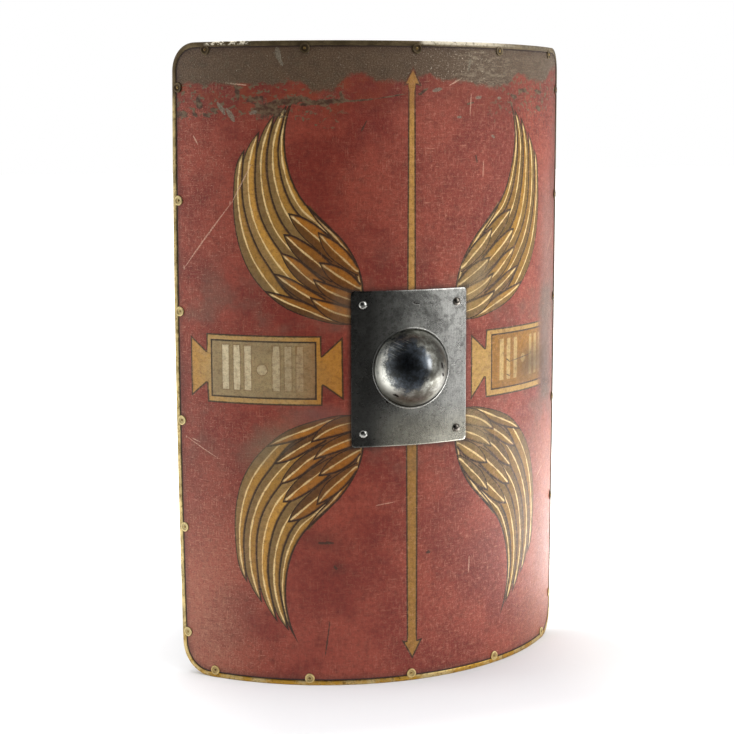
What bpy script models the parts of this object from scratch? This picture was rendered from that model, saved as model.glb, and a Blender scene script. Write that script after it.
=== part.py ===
"""A curved Roman infantry shield: a bent wooden board faced with painted linen, an iron boss, a brass
edging nailed round the rim and a wooden grip behind the boss.

Sizes are in metres, +Z is up and the painted face looks along -Y. The shield stands on its lower edge, with
the origin under the middle of its box. Sheets are laid out flat first: s runs round the face from its
crown, to the right as seen from the front, and z runs up. They are then bent round the shield's upright axis.
"""

import math

import bmesh
import bpy
from mathutils import Vector
from mathutils.geometry import delaunay_2d_cdt

# The shield as a whole
HEIGHT = 1.040
HALF_ARC = 0.406  # from the crown to the side edge, round the face at mid-height
SIDE_BOW = 0.006  # how far the side edges draw in at the top and the bottom
FACE_RADIUS = 0.415
FOOT_CORNER = 0.055
HEAD_CORNER = 0.045
BOARD_THICKNESS = 0.0065
FACING_THICKNESS = 0.0010
GAP = 0.0003  # left between pieces that touch

# The brass edging
BRASS = 0.0008
LEG_WIDTH = 0.008  # how far the edging reaches in over the face and the back
LUG_SIDES = 12
LUG_RADIUS = 0.008
LUG_INSET = 0.012  # from the shield's edge to a lug's nail
SIDE_LUG_HEIGHTS = [0.070 + 0.180 * step for step in range(6)]
HEAD_LUGS = (-0.335, -0.170, 0.008, 0.170, 0.335)
FOOT_LUGS = (-0.335, -0.170, 0.0, 0.170, 0.335)
CORNER_JOINT = 0.3265  # where a corner piece of the edging meets the top or the bottom piece
HEAD_JOINT = 0.0175
FOOT_JOINT = 0.0095
UPPER_SIDE_JOINT = 0.9615
LOWER_SIDE_JOINT = 0.0785
NAIL_SHANK = 0.0009
NAIL_HOLE = 0.0016
NAIL_HEAD = 0.0023
NAIL_TAIL = 0.0018
NAIL_HEAD_RISE = 0.0009

# The boss: a plate bent with the board, and a round dome raised from it
BOSS_HEIGHT = 0.523
PLATE_HALF_WIDTH = 0.100
PLATE_HALF_HEIGHT = 0.126
PLATE_CORNER = 0.006
IRON = 0.0015
DOME_RADIUS = 0.065
DOME_HALF_ANGLE = math.radians(75)
BEAD_WIDTH = 0.0042
BEAD_RISE = 0.0028
RIVET_ACROSS = 0.081
RIVET_UP = 0.104
RIVET_SHANK = 0.0025
RIVET_HOLE = 0.0033
RIVET_HEAD = 0.007
RIVET_HEAD_RISE = 0.0045
RIVET_TAIL = 0.005
RIVET_TAIL_RISE = 0.0018
RIVET_SIDES = 12

# The hand hole and the grip
HAND_HOLE = 0.061
PAD_START = 0.068
PAD_END = 0.100
PAD_THICKNESS = 0.008
PAD_HALF_HEIGHT = 0.018
PAD_CHAMFER = 0.002
BAR_DEPTH = 0.022
BAR_HALF_HEIGHT = 0.013
BAR_CHAMFER = 0.005
BAR_ENDS = (0.050, 0.025)
GRIP_NAIL_ACROSS = 0.084
GRIP_NAIL_UP = 0.008
GRIP_NAIL_DEPTH = 0.0040  # how far the grip's nails go into the board

# Fineness of the bent surfaces
COLUMNS = 36
CORNER_STEPS = 5
SIDE_STEPS = 6
PIN_SIDES = 8
MILLIMETRES = 1000.0

# Distances from the upright axis that the shield bends round
FACING_BACK = FACE_RADIUS - FACING_THICKNESS
BOARD_FRONT = FACING_BACK - GAP
BOARD_BACK = BOARD_FRONT - BOARD_THICKNESS
EDGING_FRONT = (FACE_RADIUS + GAP, FACE_RADIUS + GAP + BRASS)
EDGING_BACK = (BOARD_BACK - GAP - BRASS, BOARD_BACK - GAP)
PLATE_BACK = FACE_RADIUS + GAP
PLATE_FRONT = PLATE_BACK + IRON
GRIP_FRONT = BOARD_BACK - GAP
BOARD_INSET = BRASS + GAP

# The dome's measures that follow from the ones above
DOME_FOOT = DOME_RADIUS * math.sin(DOME_HALF_ANGLE)
DOME_RISE = DOME_RADIUS * (1 - math.cos(DOME_HALF_ANGLE))
BEAD_EDGE = DOME_FOOT + BEAD_WIDTH
HOLLOW_RADIUS = DOME_RADIUS - IRON
HOLLOW_RISE = DOME_RISE
HOLLOW_FOOT = math.sqrt(HOLLOW_RADIUS**2 - (HOLLOW_RADIUS - HOLLOW_RISE) ** 2)

# The box is centred on the origin from front to back
FRONTMOST = FACE_RADIUS - PLATE_FRONT - DOME_RISE
REARMOST = FACE_RADIUS - EDGING_BACK[0] * math.cos(HALF_ARC / FACE_RADIUS)
AXIS_Y = FACE_RADIUS - (FRONTMOST + REARMOST) / 2

COLUMN_WIDTH = 2 * HALF_ARC / COLUMNS


def heading(s):
    """The direction of the face at s, as seen from the upright axis, even between two columns."""
    column = min(max(math.floor((s + HALF_ARC) / COLUMN_WIDTH), 0), COLUMNS - 1)
    start = -HALF_ARC + column * COLUMN_WIDTH
    ends = []
    for edge in (start, start + COLUMN_WIDTH):
        turn = edge / FACE_RADIUS
        ends.append(Vector((math.sin(turn), -math.cos(turn), 0)))
    return ends[0].lerp(ends[1], (s - start) / COLUMN_WIDTH)


def bent(s, z, radius):
    """The place of a point of the flat layout, at this distance from the upright axis."""
    return Vector((0, AXIS_Y, z)) + heading(s) * radius


def side_edge(z):
    rise = (z - HEIGHT / 2) / (HEIGHT / 2)
    return HALF_ARC - SIDE_BOW * rise * rise


def arc(centre, radius, start, end, steps):
    """Points from start to end, in degrees, both included."""
    turns = [math.radians(start + (end - start) * step / steps) for step in range(steps + 1)]
    return [(centre[0] + radius * math.cos(turn), centre[1] + radius * math.sin(turn)) for turn in turns]


def circle(centre, radius, sides):
    return arc(centre, radius, 0, 360, sides)[:-1]


def outline(inset):
    """The shield's edge laid flat and drawn in by inset, anticlockwise from the foot."""
    foot = (side_edge(FOOT_CORNER) - FOOT_CORNER, FOOT_CORNER)
    head = (side_edge(HEIGHT - HEAD_CORNER) - HEAD_CORNER, HEIGHT - HEAD_CORNER)
    right = arc(foot, FOOT_CORNER - inset, -90, 0, CORNER_STEPS)
    for step in range(1, SIDE_STEPS):
        z = foot[1] + (head[1] - foot[1]) * step / SIDE_STEPS
        right.append((side_edge(z) - inset, z))
    right += arc(head, HEAD_CORNER - inset, 0, 90, CORNER_STEPS)
    return right + [(-s, z) for s, z in reversed(right)]


def rectangle(low, high):
    return [(low[0], low[1]), (high[0], low[1]), (high[0], high[1]), (low[0], high[1])]


def rounded_plate():
    """The boss plate's outline laid flat."""
    across = PLATE_HALF_WIDTH - PLATE_CORNER
    up = PLATE_HALF_HEIGHT - PLATE_CORNER
    corners = ((across, -up, -90), (across, up, 0), (-across, up, 90), (-across, -up, 180))
    points = []
    for s, z, start in corners:
        points += arc((s, BOSS_HEIGHT + z), PLATE_CORNER, start, start + 90, 3)
    return points


def ring_on_columns(radius, largest_step):
    """A ring round the boss's centre with a point wherever a column line crosses it."""
    crossings = []
    for column in range(COLUMNS + 1):
        s = -HALF_ARC + column * COLUMN_WIDTH
        if abs(s) < radius:
            crossings += [math.acos(s / radius), -math.acos(s / radius)]
    crossings.sort()
    points = []
    for start, end in zip(crossings, crossings[1:] + [crossings[0] + 2 * math.pi]):
        steps = math.ceil((end - start) / largest_step)
        for step in range(steps):
            turn = start + (end - start) * step / steps
            points.append((radius * math.cos(turn), BOSS_HEIGHT + radius * math.sin(turn)))
    return points


def inside(loop, point):
    """Whether a point of the flat layout lies inside a closed loop."""
    found = False
    for (s0, z0), (s1, z1) in zip(loop, loop[1:] + loop[:1]):
        if (z0 > point[1]) != (z1 > point[1]):
            found ^= point[0] < s0 + (s1 - s0) * (point[1] - z0) / (z1 - z0)
    return found


def flat_plan(loops):
    """The flat layout cut into triangles along the loops and along the column lines."""
    points = []
    edges = []
    for loop in loops:
        first = len(points)
        points += [Vector(point) * MILLIMETRES for point in loop]
        edges += [(first + step, first + (step + 1) % len(loop)) for step in range(len(loop))]
    for column in range(COLUMNS + 1):
        s = -HALF_ARC + column * COLUMN_WIDTH
        edges.append((len(points), len(points) + 1))
        points += [Vector((s, -LEG_WIDTH)) * MILLIMETRES, Vector((s, HEIGHT + LEG_WIDTH)) * MILLIMETRES]
    corners, _, triangles, *_ = delaunay_2d_cdt(points, edges, [], 0, 0.001)
    return [tuple(corner / MILLIMETRES) for corner in corners], [tuple(face) for face in triangles]


def stack(plan, layers):
    """A closed flat mesh of layers on one plan. Its vertices hold s, the radius they bend to, and z. Each
    layer is (back radius, front radius, covers), and covers says whether a point of the plan is filled."""
    corners, triangles = plan
    radii = [layers[0][0]] + [layer[1] for layer in layers]
    middles = []
    for face in triangles:
        middles.append((sum(corners[i][0] for i in face) / 3, sum(corners[i][1] for i in face) / 3))
    filled = [[layer[2](middle) for middle in middles] for layer in layers]
    mesh = bmesh.new()
    made = {}

    def vertex(corner, level):
        if (corner, level) not in made:
            s, z = corners[corner]
            made[corner, level] = mesh.verts.new((s, radii[level], z))
        return made[corner, level]

    nothing = [False] * len(triangles)
    for level, (below, above) in enumerate(zip([nothing] + filled, filled + [nothing])):
        for index, face in enumerate(triangles):
            if below[index] != above[index]:
                mesh.faces.new([vertex(corner, level) for corner in face])
    neighbours = {}
    for index, face in enumerate(triangles):
        for start, end in zip(face, face[1:] + face[:1]):
            neighbours.setdefault((min(start, end), max(start, end)), []).append(index)
    for level, covered in enumerate(filled):
        for (start, end), touching in neighbours.items():
            if sum(covered[index] for index in touching) == 1:
                wall = [(start, level), (end, level), (end, level + 1), (start, level + 1)]
                mesh.faces.new([vertex(*corner) for corner in wall])
    return mesh


def bend(mesh):
    for vertex in mesh.verts:
        s, radius, z = vertex.co
        vertex.co = bent(s, z, radius)


def material(name, colour, roughness, metallic):
    made = bpy.data.materials.new(name)
    made.use_nodes = True
    shader = made.node_tree.nodes["Principled BSDF"]
    shader.inputs["Base Color"].default_value = (*colour, 1)
    shader.inputs["Roughness"].default_value = roughness
    shader.inputs["Metallic"].default_value = metallic
    return made


def piece(name, mesh, finish):
    """The finished object of a closed mesh."""
    bmesh.ops.recalc_face_normals(mesh, faces=mesh.faces)
    if mesh.calc_volume(signed=True) < 0:
        bmesh.ops.reverse_faces(mesh, faces=mesh.faces)
    data = bpy.data.meshes.new(name)
    mesh.to_mesh(data)
    mesh.free()
    data.materials.append(finish)
    data.shade_smooth()
    data.set_sharp_from_angle(angle=math.radians(30))
    made = bpy.data.objects.new(name, data)
    bpy.context.scene.collection.objects.link(made)
    return made


def pin(name, s, z, profile, sides, finish):
    """A nail or rivet turned about the line straight out of the face at (s, z). The profile runs from its
    front tip to its back tip as (radius, distance from the upright axis)."""
    out = heading(s)
    across = Vector((-out.y, out.x, 0))
    foot = Vector((0, AXIS_Y, z))
    mesh = bmesh.new()
    rings = []
    for radius, distance in profile:
        centre = foot + out * distance
        if radius == 0:
            rings.append([mesh.verts.new(centre)])
            continue
        ring = circle((0, 0), radius, sides)
        rings.append([mesh.verts.new(centre + across * x + Vector((0, 0, y))) for x, y in ring])
    join_rings(mesh, rings)
    return piece(name, mesh, finish)


def join_rings(mesh, rings):
    """Faces between one ring of vertices and the next. A ring of one vertex is a tip."""
    for near, far in zip(rings, rings[1:]):
        count = max(len(near), len(far))
        for side in range(count):
            corners = [near[side % len(near)], near[(side + 1) % len(near)]]
            corners += [far[(side + 1) % len(far)], far[side % len(far)]]
            mesh.faces.new(list(dict.fromkeys(corners)))


def lug_places():
    """(name, s, z) of every lug of the edging, at its nail."""
    places = []
    for side, sign in (("left", -1), ("right", 1)):
        for number, z in enumerate(SIDE_LUG_HEIGHTS, 1):
            places.append((f"{side}_{number}", sign * (side_edge(z) - LUG_INSET), z))
    for end, lugs, z in (("bottom", FOOT_LUGS, LUG_INSET), ("top", HEAD_LUGS, HEIGHT - LUG_INSET)):
        for number, s in enumerate(lugs, 1):
            places.append((f"{end}_{number}", s, z))
    return places


def edging_joints():
    """A narrow flat rectangle across the edging at each joint between two of its pieces."""
    reach = LUG_INSET + LUG_RADIUS
    spots = [(s, HEIGHT) for s in (-CORNER_JOINT, HEAD_JOINT, CORNER_JOINT)]
    spots += [(s, 0) for s in (-CORNER_JOINT, FOOT_JOINT, CORNER_JOINT)]
    joints = [rectangle((s - GAP / 2, z - reach), (s + GAP / 2, z + reach)) for s, z in spots]
    for sign in (-1, 1):
        for z in (UPPER_SIDE_JOINT, LOWER_SIDE_JOINT):
            s = sign * HALF_ARC
            joints.append(rectangle((s - reach, z - GAP / 2), (s + reach, z + GAP / 2)))
    return joints


def edging_reaches():
    """The flat rectangle that each piece of the edging lies in."""
    far = HALF_ARC + LEG_WIDTH
    low = -LEG_WIDTH
    high = HEIGHT + LEG_WIDTH
    corner = CORNER_JOINT
    return {
        "edging_top_left_corner": ((-far, UPPER_SIDE_JOINT), (-corner, high)),
        "edging_top_left": ((-corner, UPPER_SIDE_JOINT), (HEAD_JOINT, high)),
        "edging_top_right": ((HEAD_JOINT, UPPER_SIDE_JOINT), (corner, high)),
        "edging_top_right_corner": ((corner, UPPER_SIDE_JOINT), (far, high)),
        "edging_left": ((-far, LOWER_SIDE_JOINT), (-corner, UPPER_SIDE_JOINT)),
        "edging_right": ((corner, LOWER_SIDE_JOINT), (far, UPPER_SIDE_JOINT)),
        "edging_bottom_left_corner": ((-far, low), (-corner, LOWER_SIDE_JOINT)),
        "edging_bottom_left": ((-corner, low), (FOOT_JOINT, LOWER_SIDE_JOINT)),
        "edging_bottom_right": ((FOOT_JOINT, low), (corner, LOWER_SIDE_JOINT)),
        "edging_bottom_right_corner": ((corner, low), (far, LOWER_SIDE_JOINT)),
    }


def nail_holes():
    return [circle((s, z), NAIL_HOLE, 5) for _, s, z in lug_places()]


def rivet_places():
    names = {(-1, 1): "top_left", (1, 1): "top_right", (-1, -1): "bottom_left", (1, -1): "bottom_right"}
    return [(name, x * RIVET_ACROSS, BOSS_HEIGHT + y * RIVET_UP) for (x, y), name in names.items()]


def rivet_holes():
    return [circle((s, z), RIVET_HOLE, 6) for _, s, z in rivet_places()]


def grip_nail_places():
    names = {(-1, 1): "left_upper", (-1, -1): "left_lower", (1, 1): "right_upper", (1, -1): "right_lower"}
    return [(name, x * GRIP_NAIL_ACROSS, BOSS_HEIGHT + y * GRIP_NAIL_UP) for (x, y), name in names.items()]


def board_and_facing(wood, paint):
    edge = outline(BOARD_INSET)
    hand_hole = circle((0, BOSS_HEIGHT), HAND_HOLE, 32)
    through = nail_holes() + rivet_holes() + [hand_hole]
    blind = [circle((s, z), NAIL_HOLE, 5) for _, s, z in grip_nail_places()]

    def whole(point):
        return inside(edge, point) and not any(inside(hole, point) for hole in through)

    def drilled(point):
        return whole(point) and not any(inside(hole, point) for hole in blind)

    drill_end = BOARD_BACK + GRIP_NAIL_DEPTH + GAP
    layers = [(BOARD_BACK, drill_end, drilled), (drill_end, BOARD_FRONT, whole)]
    board = stack(flat_plan([edge] + through + blind), layers)
    bend(board)
    piece("board", board, wood)
    facing = stack(flat_plan([edge] + through), [(FACING_BACK, FACE_RADIUS, whole)])
    bend(facing)
    piece("painted_facing", facing, paint)


def edging(brass):
    """The channel round the rim: a leg with lugs over the face, a web round the edge and a leg behind."""
    rim = outline(0)
    web_edge = outline(BRASS)
    leg_edge = outline(LEG_WIDTH)
    lugs = [circle((s, z), LUG_RADIUS, LUG_SIDES) for _, s, z in lug_places()]
    holes = nail_holes()
    joints = edging_joints()
    plan = flat_plan([rim, web_edge, leg_edge] + lugs + holes + joints)
    for name, reach in edging_reaches().items():
        box = rectangle(*reach)

        def here(point, box=box):
            return inside(box, point) and inside(rim, point) and not any(inside(cut, point) for cut in joints)

        def back_leg(point, here=here):
            return here(point) and not inside(leg_edge, point)

        def web(point, here=here):
            return here(point) and not inside(web_edge, point)

        def front_leg(point, here=here):
            if not here(point) or any(inside(hole, point) for hole in holes):
                return False
            return not inside(leg_edge, point) or any(inside(lug, point) for lug in lugs)

        layers = [(*EDGING_BACK, back_leg), (EDGING_BACK[1], EDGING_FRONT[0], web), (*EDGING_FRONT, front_leg)]
        channel = stack(plan, layers)
        bend(channel)
        piece(name, channel, brass)


def edging_nails(brass):
    front = EDGING_FRONT[1] + GAP
    back = BOARD_BACK - GAP
    profile = [
        (0, front + NAIL_HEAD_RISE),
        (NAIL_HEAD, front),
        (NAIL_SHANK, front),
        (NAIL_SHANK, back),
        (NAIL_TAIL, back),
        (0, back - NAIL_HEAD_RISE),
    ]
    for name, s, z in lug_places():
        pin(f"edging_nail_{name}", s, z, profile, PIN_SIDES, brass)


def dome_surface(mesh, foot, foot_radius, foot_level, profile):
    """A skin from a ring of the bent plate up to the dome's top. Towards the top it forgets the plate's
    bend, so that the dome is round. foot holds (vertex, s, z) in order round the ring, and the profile runs
    up from it as (radius, rise)."""
    crown = bent(0, 0, foot_level).y
    rings = [[vertex for vertex, _, _ in foot]]
    for radius, rise in profile:
        share = radius / foot_radius
        ring = []
        for _, s, z in foot if radius else foot[:1]:
            on_plate = bent(s * share, BOSS_HEIGHT + (z - BOSS_HEIGHT) * share, foot_level)
            on_plate.y = crown + (on_plate.y - crown) * share**3 - rise
            ring.append(mesh.verts.new(on_plate))
        rings.append(ring)
    join_rings(mesh, rings)


def dome_profile(radius, top, lowest, steps):
    """(radius, rise) up a round cap from the rise named lowest to its top."""
    start = math.acos((lowest - top + radius) / radius)
    turns = [start * (steps - step) / steps for step in range(steps)]
    return [(radius * math.sin(turn), top - radius * (1 - math.cos(turn))) for turn in turns] + [(0, top)]


def boss(iron):
    """A plate with a dome raised from it, one piece of sheet."""
    plate = rounded_plate()
    bead = ring_on_columns(BEAD_EDGE, math.radians(15))
    hollow = ring_on_columns(HOLLOW_FOOT, math.radians(15))
    holes = rivet_holes()

    def covers(point):
        return inside(plate, point) and not any(inside(hole, point) for hole in holes + [hollow])

    mesh = stack(flat_plan([plate, bead, hollow] + holes), [(PLATE_BACK, PLATE_FRONT, covers)])
    centre = Vector((0, BOSS_HEIGHT))

    def reach(vertex):
        return (Vector((vertex.co.x, vertex.co.z)) - centre).length

    slack = BEAD_RISE / 10
    under_bead = []
    for face in mesh.faces:
        in_front = all(abs(vertex.co.y - PLATE_FRONT) < slack for vertex in face.verts)
        on_hollow = all(reach(vertex) < HOLLOW_FOOT + slack for vertex in face.verts)
        if on_hollow or (in_front and all(reach(vertex) < BEAD_EDGE + slack for vertex in face.verts)):
            under_bead.append(face)
    bmesh.ops.delete(mesh, geom=under_bead, context="FACES")
    rings = {}
    for vertex in mesh.verts:
        s, radius, z = vertex.co
        for name, size, level in (("bead", BEAD_EDGE, PLATE_FRONT), ("hollow", HOLLOW_FOOT, PLATE_BACK)):
            if abs(reach(vertex) - size) < slack and abs(radius - level) < slack:
                rings.setdefault(name, []).append((vertex, s, z))
    for ring in rings.values():
        ring.sort(key=lambda spot: math.atan2(spot[2] - BOSS_HEIGHT, spot[1]))
    bend(mesh)
    bead_profile = [
        (DOME_FOOT + BEAD_WIDTH * 0.75, BEAD_RISE * 0.8),
        (DOME_FOOT + BEAD_WIDTH * 0.3, BEAD_RISE),
    ]
    outer = dome_profile(DOME_RADIUS, DOME_RISE, BEAD_RISE * 0.8, 6)
    dome_surface(mesh, rings["bead"], BEAD_EDGE, PLATE_FRONT, bead_profile + outer)
    inner = dome_profile(HOLLOW_RADIUS, HOLLOW_RISE, 0, 5)[1:]
    dome_surface(mesh, rings["hollow"], HOLLOW_FOOT, PLATE_BACK, inner)
    piece("boss", mesh, iron)


def boss_rivets(iron):
    front = PLATE_FRONT + GAP
    back = BOARD_BACK - GAP
    profile = [(0, front + RIVET_HEAD_RISE)]
    for degrees in (32, 66):
        turn = math.radians(degrees)
        profile.append((RIVET_HEAD * math.sin(turn), front + RIVET_HEAD_RISE * math.cos(turn)))
    profile += [
        (RIVET_HEAD, front),
        (RIVET_SHANK, front),
        (RIVET_SHANK, back),
        (RIVET_TAIL, back),
        (0, back - RIVET_TAIL_RISE),
    ]
    for name, s, z in rivet_places():
        pin(f"boss_rivet_{name}", s, z, profile, RIVET_SIDES, iron)


def grip_sections():
    """(front point, back point, half height, chamfer) along the grip's right half, from its end inwards."""
    column_line = COLUMN_WIDTH * round(GRIP_NAIL_ACROSS / COLUMN_WIDTH)
    sections = []
    for s in (PAD_END, column_line, PAD_START):
        front = bent(s, 0, GRIP_FRONT)
        back = bent(s, 0, GRIP_FRONT - PAD_THICKNESS)
        sections.append((front, back, PAD_HALF_HEIGHT, PAD_CHAMFER))
    face = sections[-1][0].y
    for x in BAR_ENDS:
        front = Vector((x, face, 0))
        sections.append((front, front + Vector((0, BAR_DEPTH, 0)), BAR_HALF_HEIGHT, BAR_CHAMFER))
    return sections


def grip(wood):
    """A straight bar across the hand hole. Its end pads follow the board and have holes for two nails."""
    right = grip_sections()
    flip = Vector((-1, 1, 1))
    left = [(front * flip, back * flip, half, cut) for front, back, half, cut in reversed(right)]
    mesh = bmesh.new()
    rings = []
    for front, back, half, cut in right + left:
        step = (back - front).normalized() * cut
        ring = []
        for sign in (1, -1):
            stops = [(front, half - cut), (front + step, half), (back - step, half), (back, half - cut)]
            for spot, rise in stops[::sign]:
                ring.append(mesh.verts.new(spot + Vector((0, 0, BOSS_HEIGHT + sign * rise))))
        rings.append(ring)
    join_rings(mesh, rings)
    mesh.faces.new(rings[0])
    mesh.faces.new(rings[-1])
    bar = piece("grip", mesh, wood)
    for name, s, z in grip_nail_places():
        near, far = GRIP_FRONT + GAP, GRIP_FRONT - PAD_THICKNESS - GAP
        profile = [(0, near), (NAIL_HOLE, near), (NAIL_HOLE, far), (0, far)]
        cutter = pin(f"grip_hole_{name}", s, z, profile, 5, wood)
        cutter.hide_render = True
        cutter.display_type = "WIRE"
        cut = bar.modifiers.new(cutter.name, "BOOLEAN")
        cut.operation = "DIFFERENCE"
        cut.object = cutter


def grip_nails(iron):
    back = GRIP_FRONT - PAD_THICKNESS - GAP
    tip = BOARD_BACK + GRIP_NAIL_DEPTH
    profile = [
        (0, tip),
        (NAIL_SHANK, tip - 2 * NAIL_SHANK),
        (NAIL_SHANK, back),
        (NAIL_HEAD, back),
        (0, back - NAIL_HEAD_RISE),
    ]
    for name, s, z in grip_nail_places():
        pin(f"grip_nail_{name}", s, z, profile, PIN_SIDES, iron)


def build():
    for old in list(bpy.data.objects):
        bpy.data.objects.remove(old)
    wood = material("bent wood", (0.33, 0.21, 0.12), 0.7, 0)
    paint = material("red paint on linen", (0.33, 0.07, 0.05), 0.7, 0)
    brass = material("aged brass", (0.62, 0.46, 0.19), 0.4, 1)
    iron = material("dull iron", (0.34, 0.33, 0.31), 0.4, 1)
    oak = material("grip wood", (0.26, 0.16, 0.09), 0.6, 0)
    board_and_facing(wood, paint)
    edging(brass)
    edging_nails(brass)
    boss(iron)
    boss_rivets(iron)
    grip(oak)
    grip_nails(iron)


build()
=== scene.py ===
import math

import bmesh
import bpy
import numpy as np
from mathutils import Matrix, Vector, noise
from mathutils.geometry import delaunay_2d_cdt
from mathutils.kdtree import KDTree


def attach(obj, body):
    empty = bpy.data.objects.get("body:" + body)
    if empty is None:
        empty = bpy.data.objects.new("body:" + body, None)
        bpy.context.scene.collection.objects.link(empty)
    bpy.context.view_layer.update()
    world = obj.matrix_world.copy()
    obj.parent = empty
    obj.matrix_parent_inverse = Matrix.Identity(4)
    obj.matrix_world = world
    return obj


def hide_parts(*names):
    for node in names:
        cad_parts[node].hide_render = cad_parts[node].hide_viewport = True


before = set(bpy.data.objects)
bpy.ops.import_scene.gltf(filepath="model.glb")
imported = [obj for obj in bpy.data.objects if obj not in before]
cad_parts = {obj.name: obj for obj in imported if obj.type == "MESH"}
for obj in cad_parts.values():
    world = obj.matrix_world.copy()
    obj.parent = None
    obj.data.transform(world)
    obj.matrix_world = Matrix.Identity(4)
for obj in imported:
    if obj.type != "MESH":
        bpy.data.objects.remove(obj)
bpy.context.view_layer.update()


# Sizes shared with the solids, in metres
HEIGHT = 1.040
HALF_ARC = 0.406
SIDE_BOW = 0.006
AXIS_Y = 0.345876
FACE = 0.415  # radius of the painted face
FACING_BACK = 0.4140
BOARD_BACK = 0.4072
FOOT_CORNER, HEAD_CORNER = 0.055, 0.045
EDGING_FRONT, EDGING_BACK = 0.4161, 0.4061
BRASS = 0.0008
LEG = 0.008
PLATE_BACK, PLATE_FRONT = 0.4153, 0.4168
BOSS_Z = 0.523
HAND_HOLE = 0.061
LUG_IN = 0.012
SIDE_LUG_FOOT, SIDE_LUG_STEP = 0.070, 0.180
END_LUG_OUTER, END_LUG_INNER, TOP_LUG_MIDDLE = 0.335, 0.170, 0.008
RIVET_ACROSS, RIVET_UP = 0.081, 0.104
MM = 0.001

# Sizes in the flat layout, in millimetres
BOSS_UP = 523.0
PLATE_ACROSS, PLATE_UP, PLATE_CORNER = 100, 126, 6  # half width, half height and corner radius
NAIL_HOLE, RIVET_HOLE = 1.6, 3.3
BEYOND_RIM = 8


# The shield's bend and outline
def bent(s, z, radius):
    """A point of the flat layout at this distance from the upright axis that the shield bends round."""
    turn = s / FACE
    return Vector((radius * math.sin(turn), AXIS_Y - radius * math.cos(turn), z))


def side_edge(z):
    rise = (z - HEIGHT / 2) / (HEIGHT / 2)
    return HALF_ARC - SIDE_BOW * rise * rise


def arc(centre, radius, start, end, steps):
    turns = [math.radians(start + (end - start) * step / steps) for step in range(steps + 1)]
    return [(centre[0] + radius * math.cos(turn), centre[1] + radius * math.sin(turn)) for turn in turns]


def rim(inset, corner_steps=12, side_steps=40):
    """The shield's outline laid flat, anticlockwise from the foot's right corner."""
    foot = (side_edge(FOOT_CORNER) - FOOT_CORNER, FOOT_CORNER)
    head = (side_edge(HEIGHT - HEAD_CORNER) - HEAD_CORNER, HEIGHT - HEAD_CORNER)
    right = arc(foot, FOOT_CORNER - inset, -90, 0, corner_steps)
    for step in range(1, side_steps):
        z = foot[1] + (head[1] - foot[1]) * step / side_steps
        right.append((side_edge(z) - inset, z))
    right += arc(head, HEAD_CORNER - inset, 0, 90, corner_steps)
    return right + [(-s, z) for s, z in reversed(right)]


def rim_in_mm(inset, *steps):
    return [(s / MM, z / MM) for s, z in rim(inset, *steps)]


def evenly(half, count, middle=0.0):
    """Evenly spaced places from half a span before the middle to half a span after it."""
    return [middle - half + 2 * half * step / count for step in range(count + 1)]


def columns_across(count):
    return [s / MM for s in evenly(HALF_ARC, count)]


def lug_places():
    """(name, s, z) of every lug of the edging, at its nail."""
    places = []
    for side, sign in (("left", -1), ("right", 1)):
        for number in range(6):
            z = SIDE_LUG_FOOT + SIDE_LUG_STEP * number
            places.append((f"{side}_{number + 1}", sign * (side_edge(z) - LUG_IN), z))
    for end, z, middle in (("bottom", LUG_IN, 0.0), ("top", HEIGHT - LUG_IN, TOP_LUG_MIDDLE)):
        across = (-END_LUG_OUTER, -END_LUG_INNER, middle, END_LUG_INNER, END_LUG_OUTER)
        places += [(f"{end}_{number}", s, z) for number, s in enumerate(across, 1)]
    return places


def rivet_places():
    return [
        (f"{rise}_{side}", x * RIVET_ACROSS, BOSS_Z + y * RIVET_UP)
        for rise, y in (("top", 1), ("bottom", -1)) for side, x in (("left", -1), ("right", 1))
    ]


# Meshes
def add_object(name, data):
    made = bpy.data.objects.new(name, data)
    bpy.context.scene.collection.objects.link(made)
    return made


def piece(name, mesh, material, nodes, sharp_from=35):
    """The finished piece of a closed mesh, standing for its CAD nodes."""
    bmesh.ops.recalc_face_normals(mesh, faces=mesh.faces)
    if mesh.calc_volume(signed=True) < 0:
        bmesh.ops.reverse_faces(mesh, faces=mesh.faces)
    data = bpy.data.meshes.new(name)
    mesh.to_mesh(data)
    mesh.free()
    data.materials.append(material)
    data.shade_smooth()
    data.set_sharp_from_angle(angle=math.radians(sharp_from))
    made = add_object(name, data)
    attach(made, "root")
    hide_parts(*nodes)


def join_rings(mesh, rings):
    """Faces between one ring of vertices and the next. A ring of one vertex is a tip."""
    for near, far in zip(rings, rings[1:]):
        count = max(len(near), len(far))
        for side in range(count):
            corners = [near[side % len(near)], near[(side + 1) % len(near)]]
            corners += [far[(side + 1) % len(far)], far[side % len(far)]]
            mesh.faces.new(list(dict.fromkeys(corners)))


def inside(points, loop):
    """Which of the points (an array of rows) lie inside a closed loop."""
    found = np.zeros(len(points), bool)
    loop = np.array(loop)
    x, y = points[:, 0], points[:, 1]
    for (x0, y0), (x1, y1) in zip(loop, np.roll(loop, -1, 0)):
        if y0 == y1:
            continue
        found ^= ((y0 > y) != (y1 > y)) & (x < x0 + (x1 - x0) * (y - y0) / (y1 - y0))
    return found


def between(points, outline, openings):
    """Which of the points lie inside an outline and outside every opening in it."""
    kept = inside(points, outline)
    for opening in openings:
        kept &= ~inside(points, opening)
    return kept


def away(points, line):
    """How far each of the points is from a line of points."""
    best = np.full(len(points), 1e9)
    line = np.array(line, float)
    for start, end in zip(line, line[1:]):
        step = end - start
        size = step @ step
        if size == 0:
            continue
        share = np.clip((points - start) @ step / size, 0, 1)
        gap = points - start - share[:, None] * step
        best = np.minimum(best, np.hypot(gap[:, 0], gap[:, 1]))
    return best


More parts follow.
